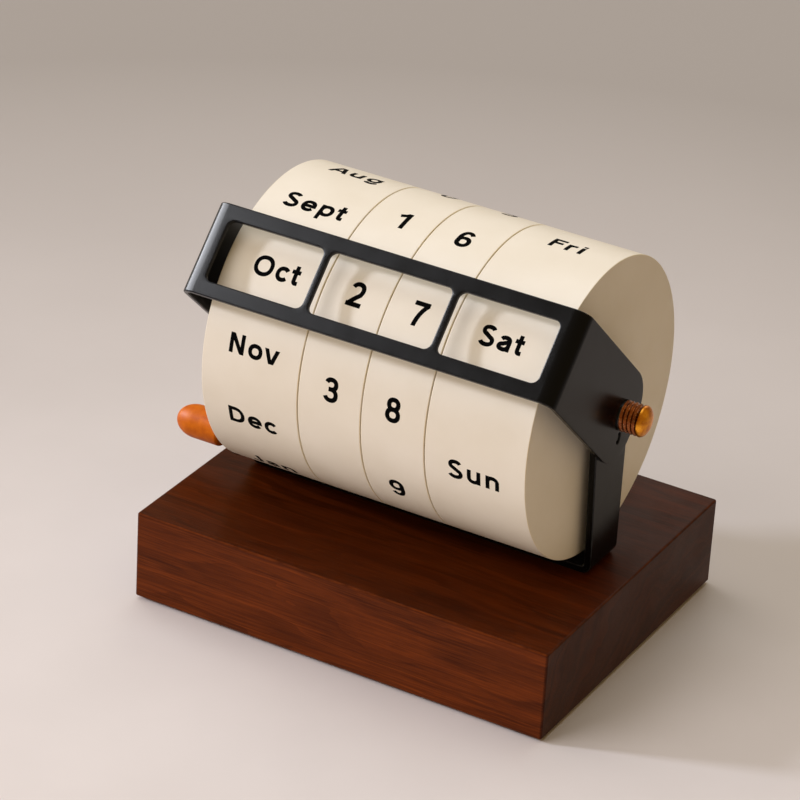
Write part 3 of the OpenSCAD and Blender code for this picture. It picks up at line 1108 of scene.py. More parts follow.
@cache
def wrap_tree() -> Recipe:
    """Wraps flat lettering round a ring: X stays, Y becomes the way round from the front, Z the height.

    Returns:
        The recipe.
    """
    made = Recipe.start(
        "lettering_on_ring", "GeometryNodeTree",
        {**GEOMETRY, "Radius": ("Float", 50.0), "Axis Z": ("Float", 0.0)},
        {"Geometry": "Geometry"},
    )
    wiring = made.wiring
    x, y, z = wiring.split(wiring.out("GeometryNodeInputPosition"))
    angle = wiring.math("DIVIDE", y, made.given("Radius"))
    reach = wiring.math("ADD", made.given("Radius"), z)
    backward = wiring.math("MULTIPLY", reach, -1.0)
    forward = wiring.math("MULTIPLY", backward, wiring.math("COSINE", angle))
    up = wiring.math("MULTIPLY_ADD", reach, wiring.math("SINE", angle), made.given("Axis Z"))
    feeds = {"Geometry": made.given("Geometry"), "Position": wiring.join(x, forward, up)}
    return close_tree(made, wiring.out("GeometryNodeSetPosition", feeds))


@cache
def spokes_tree() -> Recipe:
    """Repeats a piece at even turns about an axis along X.

    Returns:
        The recipe.
    """
    made = Recipe.start(
        "spokes", "GeometryNodeTree",
        {**GEOMETRY, "Count": ("Int", 6), "Axis Z": ("Float", 0.0)},
        {"Geometry": "Geometry"},
    )
    wiring = made.wiring
    feeds = {"Count": made.given("Count"), "Offset": (0.0, 0.0, 0.0)}
    points = wiring.out("GeometryNodeMeshLine", feeds)
    step = wiring.math("ADD", wiring.out("GeometryNodeInputIndex"), 0.5)
    angle = wiring.math("DIVIDE", wiring.math("MULTIPLY", step, math.tau), made.given("Count"))
    turn = wiring.out("FunctionNodeEulerToRotation", {0: wiring.join(angle, 0.0, 0.0)})
    feeds = {"Points": points, "Instance": made.given("Geometry"), "Rotation": turn}
    spokes = wiring.out("GeometryNodeInstanceOnPoints", feeds)
    feeds = {"Geometry": spokes, "Translation": wiring.join(0.0, 0.0, made.given("Axis Z"))}
    return close_tree(made, wiring.out("GeometryNodeTransform", feeds))


@cache
def grid_tree() -> Recipe:
    """Repeats a piece at the four corners of a rectangle.

    Returns:
        The recipe.
    """
    made = Recipe.start(
        "four_corners", "GeometryNodeTree",
        {**GEOMETRY, "Size X": ("Float", 10.0), "Size Y": ("Float", 10.0)},
        {"Geometry": "Geometry"},
    )
    wiring = made.wiring
    feeds = {side: made.given(side) for side in ("Size X", "Size Y")}
    corners = wiring.out("GeometryNodeMeshGrid", {**feeds, "Vertices X": 2, "Vertices Y": 2})
    feeds = {"Points": corners, "Instance": made.given("Geometry")}
    return close_tree(made, wiring.out("GeometryNodeInstanceOnPoints", feeds))


# ---- Turned and folded pieces ----


def turned(
    name: str, points: list[BentPoint], closed: bool, finish: Finish, **inputs: object,
) -> Object:
    """Piece turned from a half section, about the axle unless the inputs say otherwise.

    Args:
        name: name of the piece.
        points: place along the axis, radius and corner share of each point.
        closed: whether the section is a closed loop.
        finish: finish whose material it gets.
        inputs: inputs of the lathe tree, with underscores for spaces.

    Returns:
        The piece, in millimetres.
    """
    piece = new_object(name, profile(points, closed))
    run_tree(piece, lathe_tree(), finish, **{"Axis_Z": AXLE_Z, **inputs})
    return piece


def threaded_bar(low: float, high: float, radius: float, tip_r: float, pitch: float) -> list[BentPoint]:
    """Half section of a bar that has points enough along its side for a thread.

    Args:
        low: where it starts along its axis.
        high: where it ends.
        radius: radius of its side.
        tip_r: radius of its two end faces.
        pitch: pitch of the thread.

    Returns:
        The section, open on the axis.
    """
    steps = round((high - low) / pitch * BAR_STEPS)
    side = [(low + (high - low) * k / steps, radius, 0.0) for k in range(1, steps)]
    return [(low, 0.0, 0.0), (low, tip_r, 0.0), *side, (high, tip_r, 0.0), (high, 0.0, 0.0)]


def dome(rim: float, rise: float, radius: float, steps: int) -> list[BentPoint]:
    """Quarter of an ellipse, from a rim at its full radius to the axis."""
    turns = [math.radians(90 * k / steps) for k in range(steps + 1)]
    return [(rim + rise * math.sin(a), radius * math.cos(a), 0.0) for a in turns]


@dataclass(frozen=True)
class Fold:
    """The same bend near both ends of a flat sheet that lies along X."""

    half_flat: float
    radius: float
    thickness: float
    steps: int

    def end(self) -> float:
        """Where the bend ends on the flat pattern."""
        return self.half_flat + (self.radius - self.thickness / 2) * math.pi / 2

    def make(self, name: str, sheet: Shape, finish: Finish, tilt: float, lift: Place) -> Object:
        """Folds a flat sheet and sets it in its place.

        Args:
            name: name of the piece.
            sheet: the flat pattern, its upper face at 0.
            finish: finish whose material it gets.
            tilt: turn about X after the fold, in radians.
            lift: where its middle goes.

        Returns:
            The piece, in millimetres.
        """
        length = self.end() - self.half_flat
        places = [self.half_flat + length * k / self.steps for k in range(self.steps + 1)]
        cut_across(sheet, 0, [side.value * place for place in places for side in Side])
        piece = new_object(name, sheet)
        run_tree(
            piece, fold_tree(), finish, Half_Flat=self.half_flat, Bend_Radius=self.radius,
            Thickness=self.thickness, Tilt=tilt, Lift=lift,
        )
        return piece


# ---- Lettering ----

Stroke = list[Point]


@dataclass(frozen=True)
class Glyph:
    """One letter, in cap heights: width, strokes, side bearings, and where it is cut flat."""

    width: float
    strokes: list[Stroke]
    left: float = 0.09
    right: float = 0.09
    low: float = -0.3
    high: float = 1.1


def slant(x0: float, y0: float, x1: float, y1: float, spare: float = 0.2) -> Stroke:
    """Straight stroke that runs on past both ends, to be cut flat."""
    over_x, over_y = (x1 - x0) * spare, (y1 - y0) * spare
    return [(x0 - over_x, y0 - over_y), (x1 + over_x, y1 + over_y)]


def bend(first: Point, pull: Point, last: Point, steps: int = 6) -> Stroke:
    """Soft curve from first to last, drawn towards pull.

    Args:
        first: where it starts.
        pull: point that draws it.
        last: where it ends.
        steps: straight parts that stand for it.

    Returns:
        The stroke.
    """
    shares = [k / steps for k in range(steps + 1)]
    return [
        tuple((1 - t) ** 2 * a + 2 * t * (1 - t) * b + t * t * c for a, b, c in zip(first, pull, last))
        for t in shares
    ]


def keep_side(shape: list[Point], height: float, above: bool) -> list[Point]:
    """Part of a convex shape that lies above, or below, a height.

    Args:
        shape: corners of the convex shape.
        height: where it is cut.
        above: whether the upper part stays.

    Returns:
        Corners of the part that stays.
    """
    kept: list[Point] = []
    for i, (x0, y0) in enumerate(shape):
        x1, y1 = shape[(i + 1) % len(shape)]
        starts_in = (y0 >= height) == above
        if starts_in:
            kept.append((x0, y0))
        if starts_in != ((y1 >= height) == above):
            kept.append((x0 + (height - y0) / (y1 - y0) * (x1 - x0), height))
    return kept


@dataclass(frozen=True)
class StrokeFont:
    """Plain sans-serif letters drawn with one pen. Lengths are in cap heights."""

    pen: float
    x_height: float = 0.745
    overshoot: float = 0.015
    squareness: float = 2.2
    stem_side: float = 0.137
    open_side: float = 0.02
    degrees_a_step: float = 12.0
    sharpest_mitre: float = 0.2

    def bowl(
        self, x0: float, x1: float, y0: float, y1: float, start: float = 0.0, end: float = 360.0,
    ) -> Stroke:
        """Squarish round whose ink fills a box.

        Args:
            x0: left side of the box.
            x1: right side.
            y0: lower side.
            y1: upper side.
            start: angle in degrees where the stroke starts, 0 at the right.
            end: angle where it ends.

        Returns:
            The stroke's centre line.
        """
        steps = max(4, round(abs(end - start) / self.degrees_a_step))
        power = 2 / self.squareness
        wide, tall = (x1 - x0 - self.pen) / 2, (y1 - y0 - self.pen) / 2
        line = []
        for k in range(steps + 1):
            angle = math.radians(start + (end - start) * k / steps)
            along, up = math.cos(angle), math.sin(angle)
            line.append((
                (x0 + x1) / 2 + wide * math.copysign(abs(along) ** power, along),
                (y0 + y1) / 2 + tall * math.copysign(abs(up) ** power, up),
            ))
        return line

    def stem(self, left: float, low: float = 0.0, high: float = 1.0) -> Stroke:
        """Upright stroke with its left side at a place."""
        return [(left + self.pen / 2, low), (left + self.pen / 2, high)]

    def digits(self) -> dict[str, Glyph]:
        """The ten digits.

        Returns:
            The glyphs, by character.
        """
        p, over, middle, wide = self.pen / 2, self.overshoot, 0.53, 0.655
        top, low = 1 + over, -over
        six = [self.bowl(0, wide, low, 0.64), self.bowl(0, 0.67, low - 0.02, top, 38, 212)]
        nine = [[(wide - x, 1 - y) for x, y in stroke] for stroke in six]
        flag = [(0.455 - p, 0.975), (0.24, 0.83), (0.0, 0.745)]
        two = self.bowl(0.005, 0.645, 0.36, top, 163, -32) + bend((0.5, 0.5), (0.22, 0.26), (0.07, 0.05))
        five = self.bowl(0, wide, low, 0.665, 142, -160)
        seven = bend((0.6, 1 - p), (0.28, 0.55), (0.235, -0.05))
        return {
            "0": Glyph(wide, [self.bowl(0, wide, low, top)]),
            "1": Glyph(0.455, [self.stem(0.455 - self.pen), flag], high=1.0),
            "2": Glyph(wide, [two, [(0, p), (wide, p)]], low=0.0),
            "3": Glyph(wide, [
                self.bowl(0.025, 0.63, middle - p, top, 163, -90),
                self.bowl(0, wide, low, middle + p, 90, -163), [(0.22, middle), (0.33, middle)],
            ]),
            "4": Glyph(0.7, [[(0.7, 0.285), (0.152, 0.285), (0.5, 0.94)], self.stem(0.5 - p)], high=1.0),
            "5": Glyph(wide, [[(0.61, 1 - p), (0.175, 1 - p), (0.115, 0.5)], five]),
            "6": Glyph(wide, six),
            "7": Glyph(wide, [[(0, 1 - p), (wide, 1 - p)], seven], low=0.0),
            "8": Glyph(wide, [
                self.bowl(0.035, 0.62, middle - p, top), self.bowl(0, wide, low, middle + p),
            ]),
            "9": Glyph(wide, nine),
        }

    def capitals(self) -> dict[str, Glyph]:
        """The capitals that months and weekdays start with.

        Returns:
            The glyphs, by character.
        """
        p, side, slim = self.pen / 2, self.stem_side, self.open_side
        ess = self.bowl(0.03, 0.755, 0.47, 1.035, 22, 245) + self.bowl(0, 0.8, -0.035, 0.565, 65, -162)
        dee = [(0, p), *self.wide_arc(-0.03, 0.87, -90, 90), (0, 1 - p)]
        return {
            "A": Glyph(0.94, [
                slant(0.1, 0, 0.43, 1), slant(0.84, 0, 0.51, 1), [(0.24, 0.3), (0.7, 0.3)],
            ], slim, slim, 0.0, 1.0),
            "D": Glyph(0.87, [self.stem(0), dee], side),
            "F": Glyph(0.68, [
                self.stem(0), [(0, 1 - p), (0.68, 1 - p)], [(0, 0.51), (0.61, 0.51)],
            ], side, 0.03),
            "J": Glyph(0.6, [
                [(0.6 - p, 1), (0.6 - p, 0.3), *self.bowl(0, 0.6, -0.015, 0.6, 0, -172)],
            ], 0.05, side),
            "M": Glyph(0.98, [
                self.stem(0), self.stem(0.98 - self.pen),
                slant(p + 0.02, 1, 0.485, 0), slant(0.96 - p, 1, 0.495, 0),
            ], side, side, 0.0, 1.0),
            "N": Glyph(0.82, [
                self.stem(0), self.stem(0.82 - self.pen), slant(p + 0.01, 1, 0.81 - p, 0),
            ], side, side, 0.0, 1.0),
            "O": Glyph(1.06, [self.bowl(0, 1.06, -0.03, 1.03)]),
            "S": Glyph(0.8, [ess]),
            "T": Glyph(0.82, [[(0, 1 - p), (0.82, 1 - p)], self.stem(0.41 - p)], slim, slim),
            "W": Glyph(1.3, [
                slant(0.09, 1, 0.35, 0), slant(0.65, 1, 0.35, 0),
                slant(0.65, 1, 0.95, 0), slant(1.21, 1, 0.95, 0),
            ], slim, slim, 0.0, 1.0),
        }

    def wide_arc(self, x0: float, x1: float, start: float, end: float) -> Stroke:
        """Round of full cap height whose box starts on the pen's centre line."""
        return self.bowl(x0 - self.pen / 2, x1, 0, 1, start, end)

    def small_letters(self) -> dict[str, Glyph]:
        """The small letters of months and weekdays.

        Returns:
            The glyphs, by character.
        """
        p, pen, tall = self.pen / 2, self.pen, self.x_height
        side, slim = self.stem_side, self.open_side
        top, low = tall + self.overshoot, -self.overshoot
        arch = [(0.72 - p, 0), *self.bowl(0, 0.72, 0.1, top, 0, 170)]
        cup = [(p, tall), *self.bowl(0, 0.72, low, tall - 0.1, 180, 350)]
        round_body = self.bowl(0, 0.76, low, top)
        hook = [(0.13 + p, 0.97), *bend((0.13 + p, 0.25), (0.13 + p, p), (0.34, p)), (0.46, p + 0.01)]
        tail = [(0.76 - p, tall), (0.76 - p, 0), *self.bowl(0.02, 0.76, -0.29, 0.3, 0, -165)]
        hood = [*self.bowl(0.03, 0.69, 0.2, top, 158, 0), (0.69 - p, 0.3), (0.69 - p, 0)]
        belly = [(0.69 - p, 0.46), (0.45, 0.43), *self.bowl(0, 0.66, low, 0.45, 105, 262)]
        belly += bend((0.36, 0.075), (0.52, 0.09), (0.69 - p, 0.25))
        return {
            "a": Glyph(0.7, [hood, belly], 0.08, 0.11, -0.02),
            "b": Glyph(0.76, [self.stem(0), round_body], side),
            "c": Glyph(0.72, [self.bowl(0, 0.75, low, top, 38, 322)], right=0.05),
            "d": Glyph(0.76, [self.stem(0.76 - pen), round_body], right=side),
            "e": Glyph(0.78, [[(p, tall / 2), *self.bowl(0, 0.78, low, top, 0, 325)]], right=0.075),
            "g": Glyph(0.76, [self.bowl(0, 0.76, 0, top), tail], right=side),
            "h": Glyph(0.72, [self.stem(0), arch], side, side),
            "i": Glyph(pen, [self.stem(0, 0, tall), self.stem(0, 1 - 0.85 * pen, 1)], side, side),
            "l": Glyph(pen, [self.stem(0)], side, side),
            "n": Glyph(0.72, [self.stem(0, 0, tall), arch], side, side),
            "o": Glyph(0.79, [self.bowl(0, 0.79, low, top)]),
            "p": Glyph(0.77, [self.stem(0, -0.27, tall), self.bowl(0, 0.77, low, top)], side),
            "r": Glyph(0.47, [self.stem(0, 0, tall), self.bowl(0, 0.8, 0.1, top, 78, 170)], side, 0.08),
            "t": Glyph(0.5, [hook, [(0, tall - 0.85 * p), (0.47, tall - 0.85 * p)]], 0.03, 0.05, -0.02),
            "u": Glyph(0.72, [self.stem(0.72 - pen, 0, tall), cup], side, side),
            "v": Glyph(0.8, [
                slant(0.095, tall, 0.37, 0), slant(0.705, tall, 0.43, 0),
            ], slim, slim, 0.0, tall),
            "y": Glyph(0.78, [
                slant(0.095, tall, 0.4, -0.02, 0.0), slant(0.685, tall, 0.36, -0.08, 0.1),
                bend((0.4, 0.02), (0.31, -0.2), (0.06, -0.195)),
            ], slim, slim, -0.3, tall),
        }

    def outline(self, stroke: Stroke) -> list[list[Point]]:
        """Convex shapes that cover a stroke, mitred where it bends.

        Args:
            stroke: the centre line.

        Returns:
            Corners of each shape.
        """
        line = [stroke[0]]
        line += [place for k, place in enumerate(stroke) if k and math.dist(place, stroke[k - 1]) > WELD]
        closed = math.dist(line[0], line[-1]) < TOUCH
        if closed:
            line.pop()
        steps = [Vector(b) - Vector(a) for a, b in zip(line, line[1:] + line[:1])]
        across = [Vector((-step.y, step.x)).normalized() for step in steps]
        sides = []
        for k, place in enumerate(line):
            before = across[k - 1] if closed or k else across[k]
            after = across[k] if closed or k < len(line) - 1 else across[k - 1]
            lean = (before + after) / 2
            reach = lean * self.pen / 2 / max(lean.length_squared, self.sharpest_mitre)
            sides.append((tuple(Vector(place) - reach), tuple(Vector(place) + reach)))
        pairs = list(zip(sides, sides[1:] + sides[:1]))
        boxes = [(a[0], b[0], b[1], a[1]) for a, b in (pairs if closed else pairs[:-1])]
        return [[box[k] for k in convex_hull_2d(box)] for box in boxes]


@dataclass(frozen=True)
class Inscription:
    """Raised ink letters on a ring, laid out flat and then wrapped round it."""

    font: StrokeFont
    cap: float
    raised: float = 0.02
    sunk: float = 0.02
    bend_step: float = 1.5

    def letters(self, text: str) -> list[tuple[Glyph, float]]:
        """Each glyph of a text with its left side, the text centred on 0, in cap heights.

        Args:
            text: the text.

        Returns:
            Each glyph and the place of its left side.
        """
        known = self.font.digits() | self.font.capitals() | self.font.small_letters()
        glyphs = [known[letter] for letter in text]
        places, reach = [], 0.0
        for k, glyph in enumerate(glyphs):
            reach += glyph.left if k else 0.0
            places.append(reach)
            reach += glyph.width + (glyph.right if k < len(glyphs) - 1 else 0.0)
        return [(glyph, place - reach / 2) for glyph, place in zip(glyphs, places)]

    def glyph_solid(self, glyph: Glyph, x: float, y: float) -> Shape:
        """Thin flat solid of one glyph.

        Args:
            glyph: the glyph.
            x: place of its left side.
            y: place of its baseline.

        Returns:
            The solid, cut across so that it can bend.
        """
        corners: list[Point] = []
        shapes: list[list[int]] = []
        for stroke in glyph.strokes:
            for shape in self.font.outline(stroke):
                kept = keep_side(keep_side(shape, glyph.low, True), glyph.high, False)
                if len(kept) > 2:
                    shapes.append(list(range(len(corners), len(corners) + len(kept))))
                    corners += kept
        points, _, triangles, _, _, covers = delaunay_2d_cdt(
            [Vector(corner) for corner in corners], [], shapes, 0, WELD,
        )
        inked = [triangle for triangle, covered in zip(triangles, covers) if covered]
        solid = bmesh.new()
        layers = []
        for height in (-self.sunk, self.raised):
            places = [(x + p.x * self.cap, y + p.y * self.cap, height) for p in points]
            layers.append([solid.verts.new(place) for place in places])
        low, high = layers
        sides = {(t[k - 1], t[k]) for t in inked for k in range(3)}
        for triangle in inked:
            solid.faces.new([high[k] for k in triangle])
            solid.faces.new([low[k] for k in reversed(triangle)])
        for a, b in sides:
            if (b, a) not in sides:
                solid.faces.new((low[a], low[b], high[b], high[a]))
        loose = [vertex for vertex in solid.verts if not vertex.link_faces]
        bmesh.ops.delete(solid, geom=loose, context="VERTS")
        first = math.ceil((y + glyph.low * self.cap) / self.bend_step)
        last = math.floor((y + glyph.high * self.cap) / self.bend_step)
        cut_across(solid, 1, [k * self.bend_step for k in range(first, last + 1)])
        return solid

    def sheet(self, name: str, labels: list[tuple[str, float]], x: float) -> Object:
        """All of a ring's labels as one flat object.

        Args:
            name: name of the object.
            labels: each text with the place of its middle, the way round the ring.
            x: place of the texts' middle along the axle.

        Returns:
            The object, in millimetres.
        """
        whole = bmesh.new()
        for text, middle in labels:
            for glyph, left in self.letters(text):
                part = self.glyph_solid(glyph, x + left * self.cap, middle - self.cap / 2)
                mesh = bpy.data.meshes.new("glyph")
                part.to_mesh(mesh)
                part.free()
                whole.from_mesh(mesh)
                bpy.data.meshes.remove(mesh)
        return new_object(name, whole)


# ---- The finishes in use ----

WALNUT = Walnut("satin_walnut", "walnut")
FELT = Felt("dark_felt", "felt")
BLACK = Enamel("satin_black", "black_enamel", srgb(9, 9, 10), srgb(76, 76, 80), edge_patches=0.3)
INK = Enamel(
    "printed_ink", "black_enamel", srgb(3, 3, 3), srgb(14, 13, 13), gloss=(0.7, 0.8), shine=0.04,
)
IVORY = Ivory("ivory_resin", "ivory")
AMBER = Lacquer(
    "amber_lacquer", "amber_brass", srgb(200, 102, 8), srgb(176, 80, 5), srgb(214, 130, 30),
    painted_glint_share=0.2, metal=0.0, gloss=(0.42, 0.5), coat=0.0, dents=0.004, shine=0.1,
)
GOLD = Lacquer(
    "gold_lacquer", "amber_brass", srgb(255, 172, 42), srgb(176, 84, 10), srgb(255, 214, 120),
    painted_glint_share=0.1, metal=1.0, gloss=(0.26, 0.36), coat=0.2, dents=0.02,
)
RUSSET = Lacquer(
    "russet_lacquer", "amber_brass", srgb(172, 92, 26), srgb(100, 38, 11), srgb(255, 222, 160),
    painted_glint_share=0.4, metal=0.9, gloss=(0.2, 0.34), coat=0.3, dents=0.02,
)
BRASS_TONES = (srgb(208, 172, 98), srgb(150, 116, 60))
ON_AXLE = (0.0, 0.0, AXLE_Z)
LOCK_AXIS = {"Sides": 64, "Axis_Y": LOCK_LINE.y, "Axis_Z": LOCK_LINE.z}
BRASS = TurnedMetal("turned_brass", "brass", *BRASS_TONES, ON_AXLE)
LOCK_BRASS = TurnedMetal("turned_lock_brass", "brass", *BRASS_TONES, tuple(LOCK_LINE))
STEEL = TurnedMetal("turned_steel", "steel", srgb(176, 178, 182), srgb(120, 122, 126), ON_AXLE)
ZINC = TurnedMetal("screw_steel", "steel", srgb(186, 186, 182), srgb(120, 120, 118), (0.0, 0.0, 0.0))
NYLON = Nylon("natural_nylon", "nylon")
TABLE = TableTop("pale_table", "")


# ---- Sub-assemblies ----


@dataclass(frozen=True)
class Screws:
    """Four countersunk screws that hold the bracket's foot to the base."""

    pitch_x: float = 96.0
    pitch_y: float = 10.0
    head_r: float = 2.6
    shank_r: float = 1.25
    length: float = 16.0
    thread_pitch: float = 1.1
    thread_depth: float = 0.3
    point_l: float = 3.0
    point_share: float = 0.25
    recess_w: float = 0.7
    recess_depth: float = 0.9
    recess_reach: float = 1.75
    clearance: float = 0.02
    steps_per_mm: int = 8
    run_out: float = 2.0

    def section(self) -> list[BentPoint]:
        """Half section of one screw, from its point to its flat head at 0.

        Returns:
            The section, open on the axis.
        """
        neck = self.head_r - self.shank_r
        steps = round(self.length * self.steps_per_mm)
        points = [(-self.length, 0.0, 0.0)]
        for k in range(steps + 1):
            along = (self.length - neck) * k / steps
            taper = min(1.0, self.point_share + along / self.point_l)
            points.append((along - self.length, self.shank_r * taper, 0.0))
        return [*points, (0.0, self.head_r, 0.0), (0.0, 0.0, 0.0)]

    def hole_section(self) -> list[BentPoint]:
        """Half section of one countersunk hole, with room round the screw, running out above its head.

        Returns:
            The section, open on the axis.
        """
        bore, mouth = self.shank_r + self.clearance, self.head_r + self.clearance
        bottom, top = -self.length - self.clearance, self.clearance
        return [
            (bottom, 0.0, 0.0), (bottom, bore, 0.0), (self.shank_r - self.head_r, bore, 0.0),
            (0.0, mouth, 0.0), (top, mouth, 0.0), (top, 0.0, 0.0),
        ]

    def at_corners(self, piece: Object, top: float) -> None:
        """Stands a piece up at each corner of the foot, hanging down from a height.

        Args:
            piece: one screw or hole, along X.
            top: the height of its head.
        """
        turn = Matrix.Rotation(-math.pi / 2, 4, "Y")
        piece.data.transform(Matrix.Translation((0.0, 0.0, top)) @ turn)
        run_tree(piece, grid_tree(), ZINC, Size_X=self.pitch_x, Size_Y=self.pitch_y)

    def cutter(self, top: float) -> Object:
        """The four countersunk holes, as solids.

        Args:
            top: height of the screws' heads.

        Returns:
            The holes, as one object.
        """
        hole = turned("screw_holes", self.hole_section(), False, ZINC, Sides=32, Axis_Z=0.0)
        self.at_corners(hole, top)
        return hole

    def build(self, top: float) -> Object:
        """The four screws, heads flush with a height.

        Args:
            top: the height.

        Returns:
            The piece.
        """
        screw = turned(
            "base_screws_dressed", self.section(), False, ZINC, Sides=24, Axis_Z=0.0,
            Pitch=self.thread_pitch, Depth=self.thread_depth,
            Start=-self.length, End=-self.head_r, Run_Out=self.run_out,
        )
        half = self.recess_w / 2
        for wide, deep in ((self.recess_reach, half), (half, self.recess_reach)):
            low = (-self.recess_depth, -wide, -deep)
            hollow_out(screw, new_object("recess", block(low, (1.0, wide, deep))))
        self.at_corners(screw, top)
        return complete(screw, ZINC, Body.STAND, "base_screws")


@dataclass(frozen=True)
class Base:
    """Walnut block on a thin felt pad."""

    corner_r: float = 0.8
    easing: float = 0.7
    pad_easing: float = 0.3

    def slab(self, name: str, node: str, easing: float) -> Object:
        """Block with round corners in the place of a CAD node.

        Args:
            name: name of the piece.
            node: the CAD node.
            easing: radius of its eased edges.

        Returns:
            The piece, in millimetres.
        """
        low, high = cad_box(node)
        corners = [(low.x, low.y), (high.x, low.y), (high.x, high.y), (low.x, high.y)]
        outline = rounded([(x, y, self.corner_r) for x, y in corners])
        return new_object(name, plate(outline, [], low.z, high.z, easing, steps=4))

    def build(self, screws: Screws, strap_top: float) -> None:
        """The block with its pilot holes, and the pad.

        Args:
            screws: the screws that go into the block.
            strap_top: height of their heads.
        """
        block_piece = self.slab("walnut_block", "base_block", self.easing)
        hollow_out(block_piece, screws.cutter(strap_top))
        complete(block_piece, WALNUT, Body.STAND, "base_block")
        complete(self.slab("felt_pad", "base_pad", self.pad_easing), FELT, Body.STAND, "base_pad")


@dataclass(frozen=True)
class IndexSlot:
    """Where the index pins lie, seen from the axle: straight down, turned forwards."""

    reach: float = 7.5
    angle: float = 20.0
    width: float = 2.0
    length: float = 3.8

    def place(self) -> Vector:
        """Y and Z of the pins from the axle."""
        angle = math.radians(self.angle)
        return Vector((-math.sin(angle), -math.cos(angle))) * self.reach

    def outline(self, centre: Vector, towards: Vector) -> list[BentPoint]:
        """Slot's outline, clockwise, long in a direction.

        Args:
            centre: middle of the slot.
            towards: its long direction.

        Returns:
            The outline.
        """
        turn = math.degrees(math.atan2(towards.y, towards.x))
        shift = towards.normalized() * (self.length - self.width) / 2
        ends = ((centre + shift, turn + 90), (centre - shift, turn - 90))
        arcs = [arc(*middle, self.width / 2, start, start - 180, steps=10) for middle, start in ends]
        return arcs[0] + arcs[1]


@dataclass(frozen=True)
class Bracket:
    """Steel strap bent up at both ends: foot, uprights and the lug of the ring lock."""

    width: float = 18.2
    thickness: float = 2.5
    flare: float = 3.6
    bend_r: float = 3.5
    rod_hole_r: float = 3.05
    insert_hole_r: float = 3.47
    lug_r: float = 6.2
    lug_flat: float = 0.02
    lug_fillet: float = 1.2
    easing: float = 0.45
    pin: IndexSlot = IndexSlot()

    def outline(self, bent: float, axle: float, lug: float) -> list[BentPoint]:
        """Outline of the flat pattern.

        Args:
            bent: where the bends end.
            axle: how far out the axle's holes lie.
            lug: how far out the lug's middle lies.

        Returns:
            The outline, counter-clockwise, its Y towards the reader.
        """
        foot = self.width / 2
        front = foot + self.flare
        lug_y = self.lug_r - LOCK_LINE.y
        near, far = [
            foot + self.flare * (lug + side.value * self.lug_r - bent) / (axle - bent) for side in Side
        ]
        corner_r = self.lug_r - self.lug_flat
        front_edge = [
            (bent, foot, 0), (-bent, foot, 0), (self.lug_r - lug, near, self.lug_fillet),
            (self.lug_r - lug, lug_y, corner_r), (-self.lug_r - lug, lug_y, corner_r),
            (-self.lug_r - lug, far, self.lug_fillet), (-axle, front, 0),
        ]
        middle, top_r = (front - foot) / 2, (foot + front) / 2
        right_top = arc(axle, middle, top_r, -90, 90, steps=28)
        left_top = arc(-axle, middle, top_r, 90, 270, steps=28)
        return [*right_top, *rounded(front_edge, steps=14, closed=False), *left_top[1:]]

    def build(self, screws: Screws) -> None:
        """The flat pattern, folded and drilled; the fold turns it over.

        Args:
            screws: the screws that hold its foot.
        """
        low, high = cad_box("stand_bracket")
        fold = Fold(high.x - self.bend_r, self.bend_r, self.thickness, steps=10)
        axle = fold.end() + AXLE_Z - low.z - self.bend_r
        lug = fold.end() + LOCK_LINE.z - low.z - self.bend_r
        pin = self.pin.place()
        holes = [round_hole(-lug, -LOCK_LINE.y, self.insert_hole_r)]
        for side in Side:
            holes.append(round_hole(side.value * axle, 0.0, self.rod_hole_r))
            holes.append(round_hole(side.value * (axle + pin.y), -pin.x, self.pin.width / 2, steps=16))
        outline = self.outline(fold.end(), axle, lug)
        strap = plate(outline, holes, -self.thickness, 0.0, self.easing)
        piece = fold.make("bracket_strap", strap, BLACK, math.pi, (0.0, 0.0, low.z))
        hollow_out(piece, screws.cutter(low.z + self.thickness))
        complete(piece, BLACK, Body.STAND, "stand_bracket")


